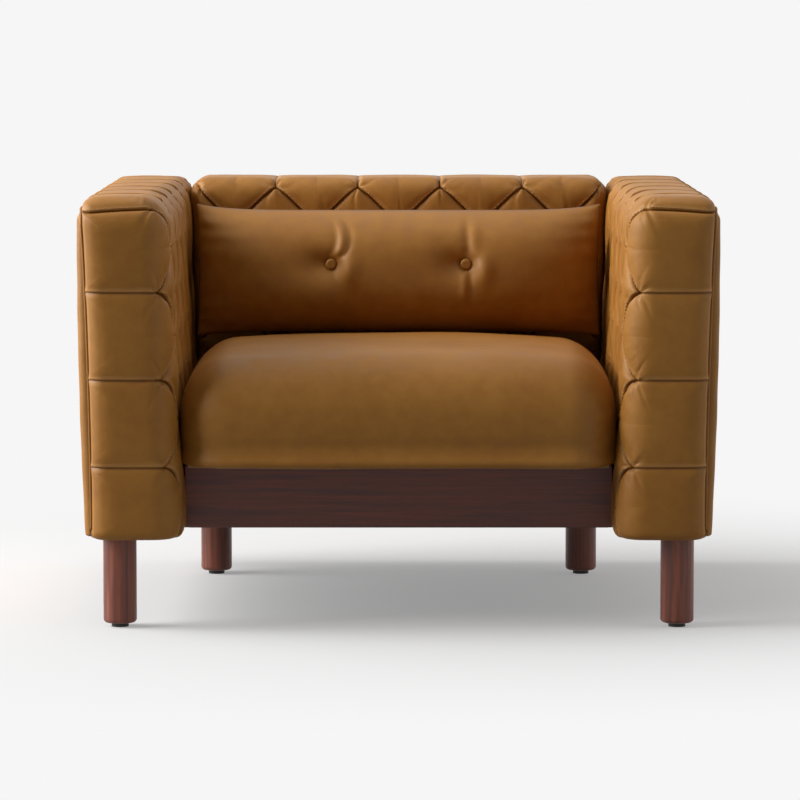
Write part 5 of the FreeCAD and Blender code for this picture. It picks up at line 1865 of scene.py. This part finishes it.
@dataclass
class Pillow:
    """Loose lumbar pillow: two crowned faces whose edges stay apart, with two buttons pulled in."""

    half: float = 327.3
    foot: float = 411.8
    head: float = 609.4
    seam_y: float = 138.0
    lean: float = 12.0
    front_bulge: float = 91.0
    rear_bulge: float = 111.4
    seam_half: float = 2.0
    ear: float = 10.0
    foot_ear: float = 6.0
    button_x: float = 108.5
    button_z: float = 525.4
    leather: float = 3.5
    columns: int = 221
    front_rows: int = 111
    rear_rows: int = 71
    folds: tuple[Fold, ...] = (
        Fold(-1.0, True, -4.2, 18.0, 6.0, arch=8.0),
        Fold(-1.0, True, 3.2, 30.0, 5.0, arch=8.0),
        Fold(-1.0, True, 1.6, 7.0, 5.0, arch=8.0),
        Fold(-1.0, False, 1.4, 0.0, 4.0, lean=0.3),
        Fold(1.0, True, 3.2, 1.0, 6.0),
        Fold(1.0, True, -2.0, 15.0, 8.0),
        Fold(1.0, False, -3.0, -3.0, 6.0),
        Fold(1.0, False, 2.6, 7.0, 4.5),
    )

    def face(self, across: Array, up: Array, bulge: float, sign: float) -> Array:
        """One face.

        A point's height runs between the two seams, which turn out to ears at the ends. Its depth is
        the bulge times a fall to the ends (the root of one minus the cube) times a fall to the seams.

        Args:
            across: From -1 at the left end to 1 at the right.
            up: From -1 at the lower seam to 1 at the upper one.
            bulge: How far the face stands out in the middle.
            sign: -1 for the front face, 1 for the rear one.

        Returns:
            The points, one per row.
        """
        ear = np.abs(across) ** 7
        foot = self.foot - self.foot_ear * ear
        head = self.head + self.ear * ear
        z = (foot + head) / 2 + (head - foot) / 2 * up
        end = np.sqrt(np.maximum(1.0 - np.abs(0.995 * across) ** 3, 0.0))
        fall = (1.0 - np.abs(up) ** 2.3) ** 0.6
        waist = 1.0 - 0.012 * (1.0 - up**2) * np.abs(across) ** 5
        out = self.seam_half + (bulge - self.seam_half) * end * fall
        y = self.seam_y + self.lean / 2 * up + sign * out
        return np.stack([self.half * across * waist, y, z], axis=-1)

    def pulls(self, x: Array, z: Array, front: bool) -> Array:
        """How far the leather is pulled in: round each button and, in front, along its folds.

        The front dimple is steep to the right of a button and long to its left, with a full flank on the
        right and a hollow on the left.
        """
        pulled = np.zeros_like(x)
        for side in (-1.0, 1.0):
            dx, dz = x - side * self.button_x, z - self.button_z
            gap = np.sqrt(dx**2 + dz**2)
            if not front:
                pulled += 11.0 * np.exp(-((gap / 13.0) ** 1.6)) + 5.0 * np.exp(-((gap / 40.0) ** 1.4))
                continue
            reach = np.where(dx > 0.0, 0.62, 1.5)
            wide = np.sqrt((dx / reach) ** 2 + (dz / 0.75) ** 2 + 36.0) - 6.0
            pulled += 21.5 * np.exp(-wide / 29.0) + 1.3 * hump(gap, 11.0)
            pulled += sum(fold.pull(dx, dz) for fold in self.folds if fold.button == side)
            pulled -= 8.0 * hump(dx - 29.0, 15.0) * hump(dz + 8.0, 26.0)
            pulled += 4.0 * hump(dx + 24.0, 18.0) * hump(dz + 2.0, 24.0)
        return pulled

    def shift(self, points: Array, u: Array, end_gap: Array, front: bool) -> tuple[Array, Array]:
        """How far the leather stands out of its face, and its marks of painted shade.

        Puckers run square to the seams and die away from them, the slow ripple and the pulls of the
        buttons die towards them.

        Args:
            points: The face's grid.
            u: From -1 at the lower seam to 1 at the upper one.
            end_gap: Distances from the nearer end.
            front: Whether the face is the front one.

        Returns:
            The shift and the mark of each point.
        """
        x, z = points[..., 0], points[..., 2]
        seam_gap = 98.0 * (1.0 - np.abs(u))
        pucker = 1.5 * np.exp(-end_gap / 34.0) * np.sin(z / 5.2 + 2.0 * np.sin(z / 23.0))
        pucker *= 1.0 - np.exp(-end_gap / 6.0)
        ruffle = 0.9 * np.exp(-seam_gap / 22.0) * np.sin(x / 9.0 + 3.0 * np.sin(x / 61.0))
        pucker += ruffle * (1.0 - np.exp(-seam_gap / 5.0))
        slow = 1.5 * ripple(points.reshape(-1, 3) * 0.6).reshape(x.shape)
        slow *= (1.0 - np.exp(-seam_gap / 20.0)) * (1.0 - np.exp(-end_gap / 20.0))
        pulled = self.pulls(x, z, front) * np.clip(seam_gap / 14.0, 0.0, 1.0)
        # The mark paints shade along the seams and ends and in the dimple round each button.
        mark = np.exp(-np.minimum(seam_gap, end_gap) / 1.6)
        for side in (-1.0, 1.0):
            gap = np.hypot(x - side * self.button_x, z - self.button_z)
            mark = np.maximum(mark, 0.8 * np.exp(-((gap / 10.5) ** 4)))
        return np.where((seam_gap > 0) & (end_gap > 0), pucker + slow - pulled, 0.0), mark

    def cover(self) -> Piece:
        """The cover as two grids, open between them: 4 mm at both seams, up to 29 mm at the ends."""
        even = np.linspace(-1.0, 1.0, self.columns)
        across = 0.35 * even + 0.65 * np.sin(even * math.pi / 2)
        skin = Skin()
        faces = ((True, self.front_rows, self.front_bulge, -1.0), (False, self.rear_rows, self.rear_bulge, 1.0))
        for front, rows, bulge, sign in faces:
            lines = np.linspace(-1.0, 1.0, rows)
            up = np.sin(lines * math.pi / 2) * 0.75 + lines * 0.25
            a, u = np.meshgrid(across, up, indexing="xy")
            points = self.face(a, u, bulge, sign)
            shift, mark = self.shift(points, u, self.half * (1.0 - np.abs(a)), front)
            points[..., 1] += sign * shift
            quads = grid_faces(*a.shape)
            skin.add(points.reshape(-1, 3), [quads if front else quads[:, ::-1]], mark.ravel(), -0.2)
        return skin.build("back_cushion_leather")

    def build(self, shop: Workshop) -> None:
        """Builds the cover and the foam inside it and dresses them."""
        cover = self.cover()
        shop.dress(cover, "back_cushion", "saddle_leather", replaced=("back_cushion_cover",))
        core = foam_inside(cover, "back_cushion_foam", self.leather)
        shop.dress(core, "back_cushion", "foam", replaced=("back_cushion_core",))


# Studio


@dataclass
class Studio:
    """Plain pale floor, soft light from the upper left, and the camera of the photograph."""

    camera_place: tuple[float, float, float] = (2.2, -7024.0, 945.0)
    camera_down: float = 5.15
    camera_lens: float = 198.45
    floor: str = "#DCDCDC"
    floor_half_m: float = 60.0
    floor_bounce: str = "#848484"
    floor_glow: float = 0.30
    glow_centre_m: tuple[float, float, float] = (0.05, 0.1, 0.0)
    glow_from_m: float = 0.5
    glow_full_m: float = 1.5
    backdrop: str = "#F6F6F6"
    sky: tuple[float, float, float] = (1.1, 0.8, 0.2)
    key_strength: float = 3.05
    key_way: tuple[float, float, float] = (-0.85, -0.07, 0.46)
    key_angle: float = 42.0
    boxes: tuple[tuple[tuple[float, float, float], float, float], ...] = (
        ((-1.9, 0.1, 1.1), 1.4, 30.0),
        ((-0.2, 0.2, 2.3), 1.6, 8.0),
    )
    box_aim_m: tuple[float, float, float] = (0.0, 0.0, 0.35)

    def build(self) -> None:
        """Sets up the camera, the floor and the light."""
        self.camera()
        self.ground()
        self.light()

    def camera(self) -> None:
        """Camera square to the chair's front, a little above it, looking slightly down."""
        data = bpy.data.cameras.new("camera")
        data.lens = self.camera_lens
        data.sensor_width = 36.0
        data.sensor_fit = "HORIZONTAL"
        data.clip_end = 100.0
        eye = placed("camera", data)
        eye.location = tuple(c * MM for c in self.camera_place)
        eye.rotation_euler = (math.radians(90.0 - self.camera_down), 0.0, 0.0)
        bpy.context.scene.camera = eye

    def ground(self) -> None:
        """Matt painted floor that takes the shadow and fades into the backdrop away from the chair."""
        mesh = bpy.data.meshes.new("floor")
        size = self.floor_half_m
        corners = [(-size, -size, 0), (size, -size, 0), (size, size, 0), (-size, size, 0)]
        mesh.from_pydata(corners, [], [(0, 1, 2, 3)])
        floor = placed("floor", mesh)
        made, tree = new_material("matt_studio_floor")
        tree.nodes.clear()
        place = add_node(tree, "TexCoord").outputs["Object"]
        away = add_node(tree, "VectorMath", {0: place, 1: self.glow_centre_m}, operation="DISTANCE")
        inputs = {
            "Value": away.outputs["Value"],
            "From Min": self.glow_from_m,
            "From Max": self.glow_full_m,
            "To Min": self.floor_glow,
            "To Max": 1.0,
        }
        far = add_node(tree, "MapRange", inputs, interpolation_type="SMOOTHSTEP")
        seen = add_node(tree, "BsdfDiffuse", {"Color": linear(self.floor)})
        glow = add_node(tree, "Emission", {"Color": linear(self.backdrop)})
        paint = add_node(tree, "MixShader", {0: far.outputs[0], 1: seen.outputs[0], 2: glow.outputs[0]})
        bounce = add_node(tree, "BsdfDiffuse", {"Color": linear(self.floor_bounce)})
        surface = add_node(
            tree, "MixShader", {0: seen_rays(tree), 1: bounce.outputs[0], 2: paint.outputs[0]}
        )
        add_node(tree, "OutputMaterial", {"Surface": surface.outputs[0]})
        mesh.materials.append(made)

    def surround(self) -> None:
        """White backdrop where it is seen; as a light, a sky weighted by the squares of its direction."""
        world = bpy.data.worlds.new("studio")
        bpy.context.scene.world = world
        world.use_nodes = True
        tree = world.node_tree
        tree.nodes.clear()
        way = add_node(tree, "TexCoord").outputs["Generated"]
        sides = add_node(tree, "VectorMath", {0: way, 1: (0.0, 0.0, 0.0)}, operation="MAXIMUM").outputs[0]
        squares = add_node(tree, "VectorMath", {0: sides, 1: sides}, operation="MULTIPLY").outputs[0]
        glow = add_node(tree, "VectorMath", {0: squares, 1: self.sky}, operation="DOT_PRODUCT")
        inputs = {"Color": linear("#FFFFFF"), "Strength": glow.outputs["Value"]}
        fill = add_node(tree, "Background", inputs)
        backdrop = add_node(tree, "Background", {"Color": linear(self.backdrop), "Strength": 1.0})
        mix = add_node(tree, "MixShader", {0: seen_rays(tree), 1: fill.outputs[0], 2: backdrop.outputs[0]})
        add_node(tree, "OutputWorld", {"Surface": mix.outputs[0]})

    def light(self) -> None:
        """Surround brighter behind the chair, a wide soft key and a large box from the left, a box overhead."""
        self.surround()
        key = bpy.data.lights.new("key", "SUN")
        key.energy = self.key_strength
        key.angle = math.radians(self.key_angle)
        lamp = placed("key", key)
        lamp.rotation_euler = Vector(self.key_way).to_track_quat("Z", "Y").to_euler()
        for place, size, power in self.boxes:
            light = bpy.data.lights.new("soft_box", "AREA")
            light.shape, light.size, light.energy = "SQUARE", size, power
            box = placed("soft_box", light)
            box.location = place
            box.rotation_euler = (Vector(place) - Vector(self.box_aim_m)).to_track_quat("Z", "Y").to_euler()
        bpy.context.scene.view_settings.view_transform = "Standard"


def main() -> None:
    """Builds the chair in order and reports each piece."""
    logging.basicConfig(level=logging.INFO, format="%(name)s: %(message)s")
    shop = Workshop()
    shop.dress_cad()
    Studio().build()
    for part in (Arm("right"), Arm("left"), Back(), OutsideBack(), SeatCushion(), Pillow()):
        part.build(shop)


if __name__ == "__main__":
    main()
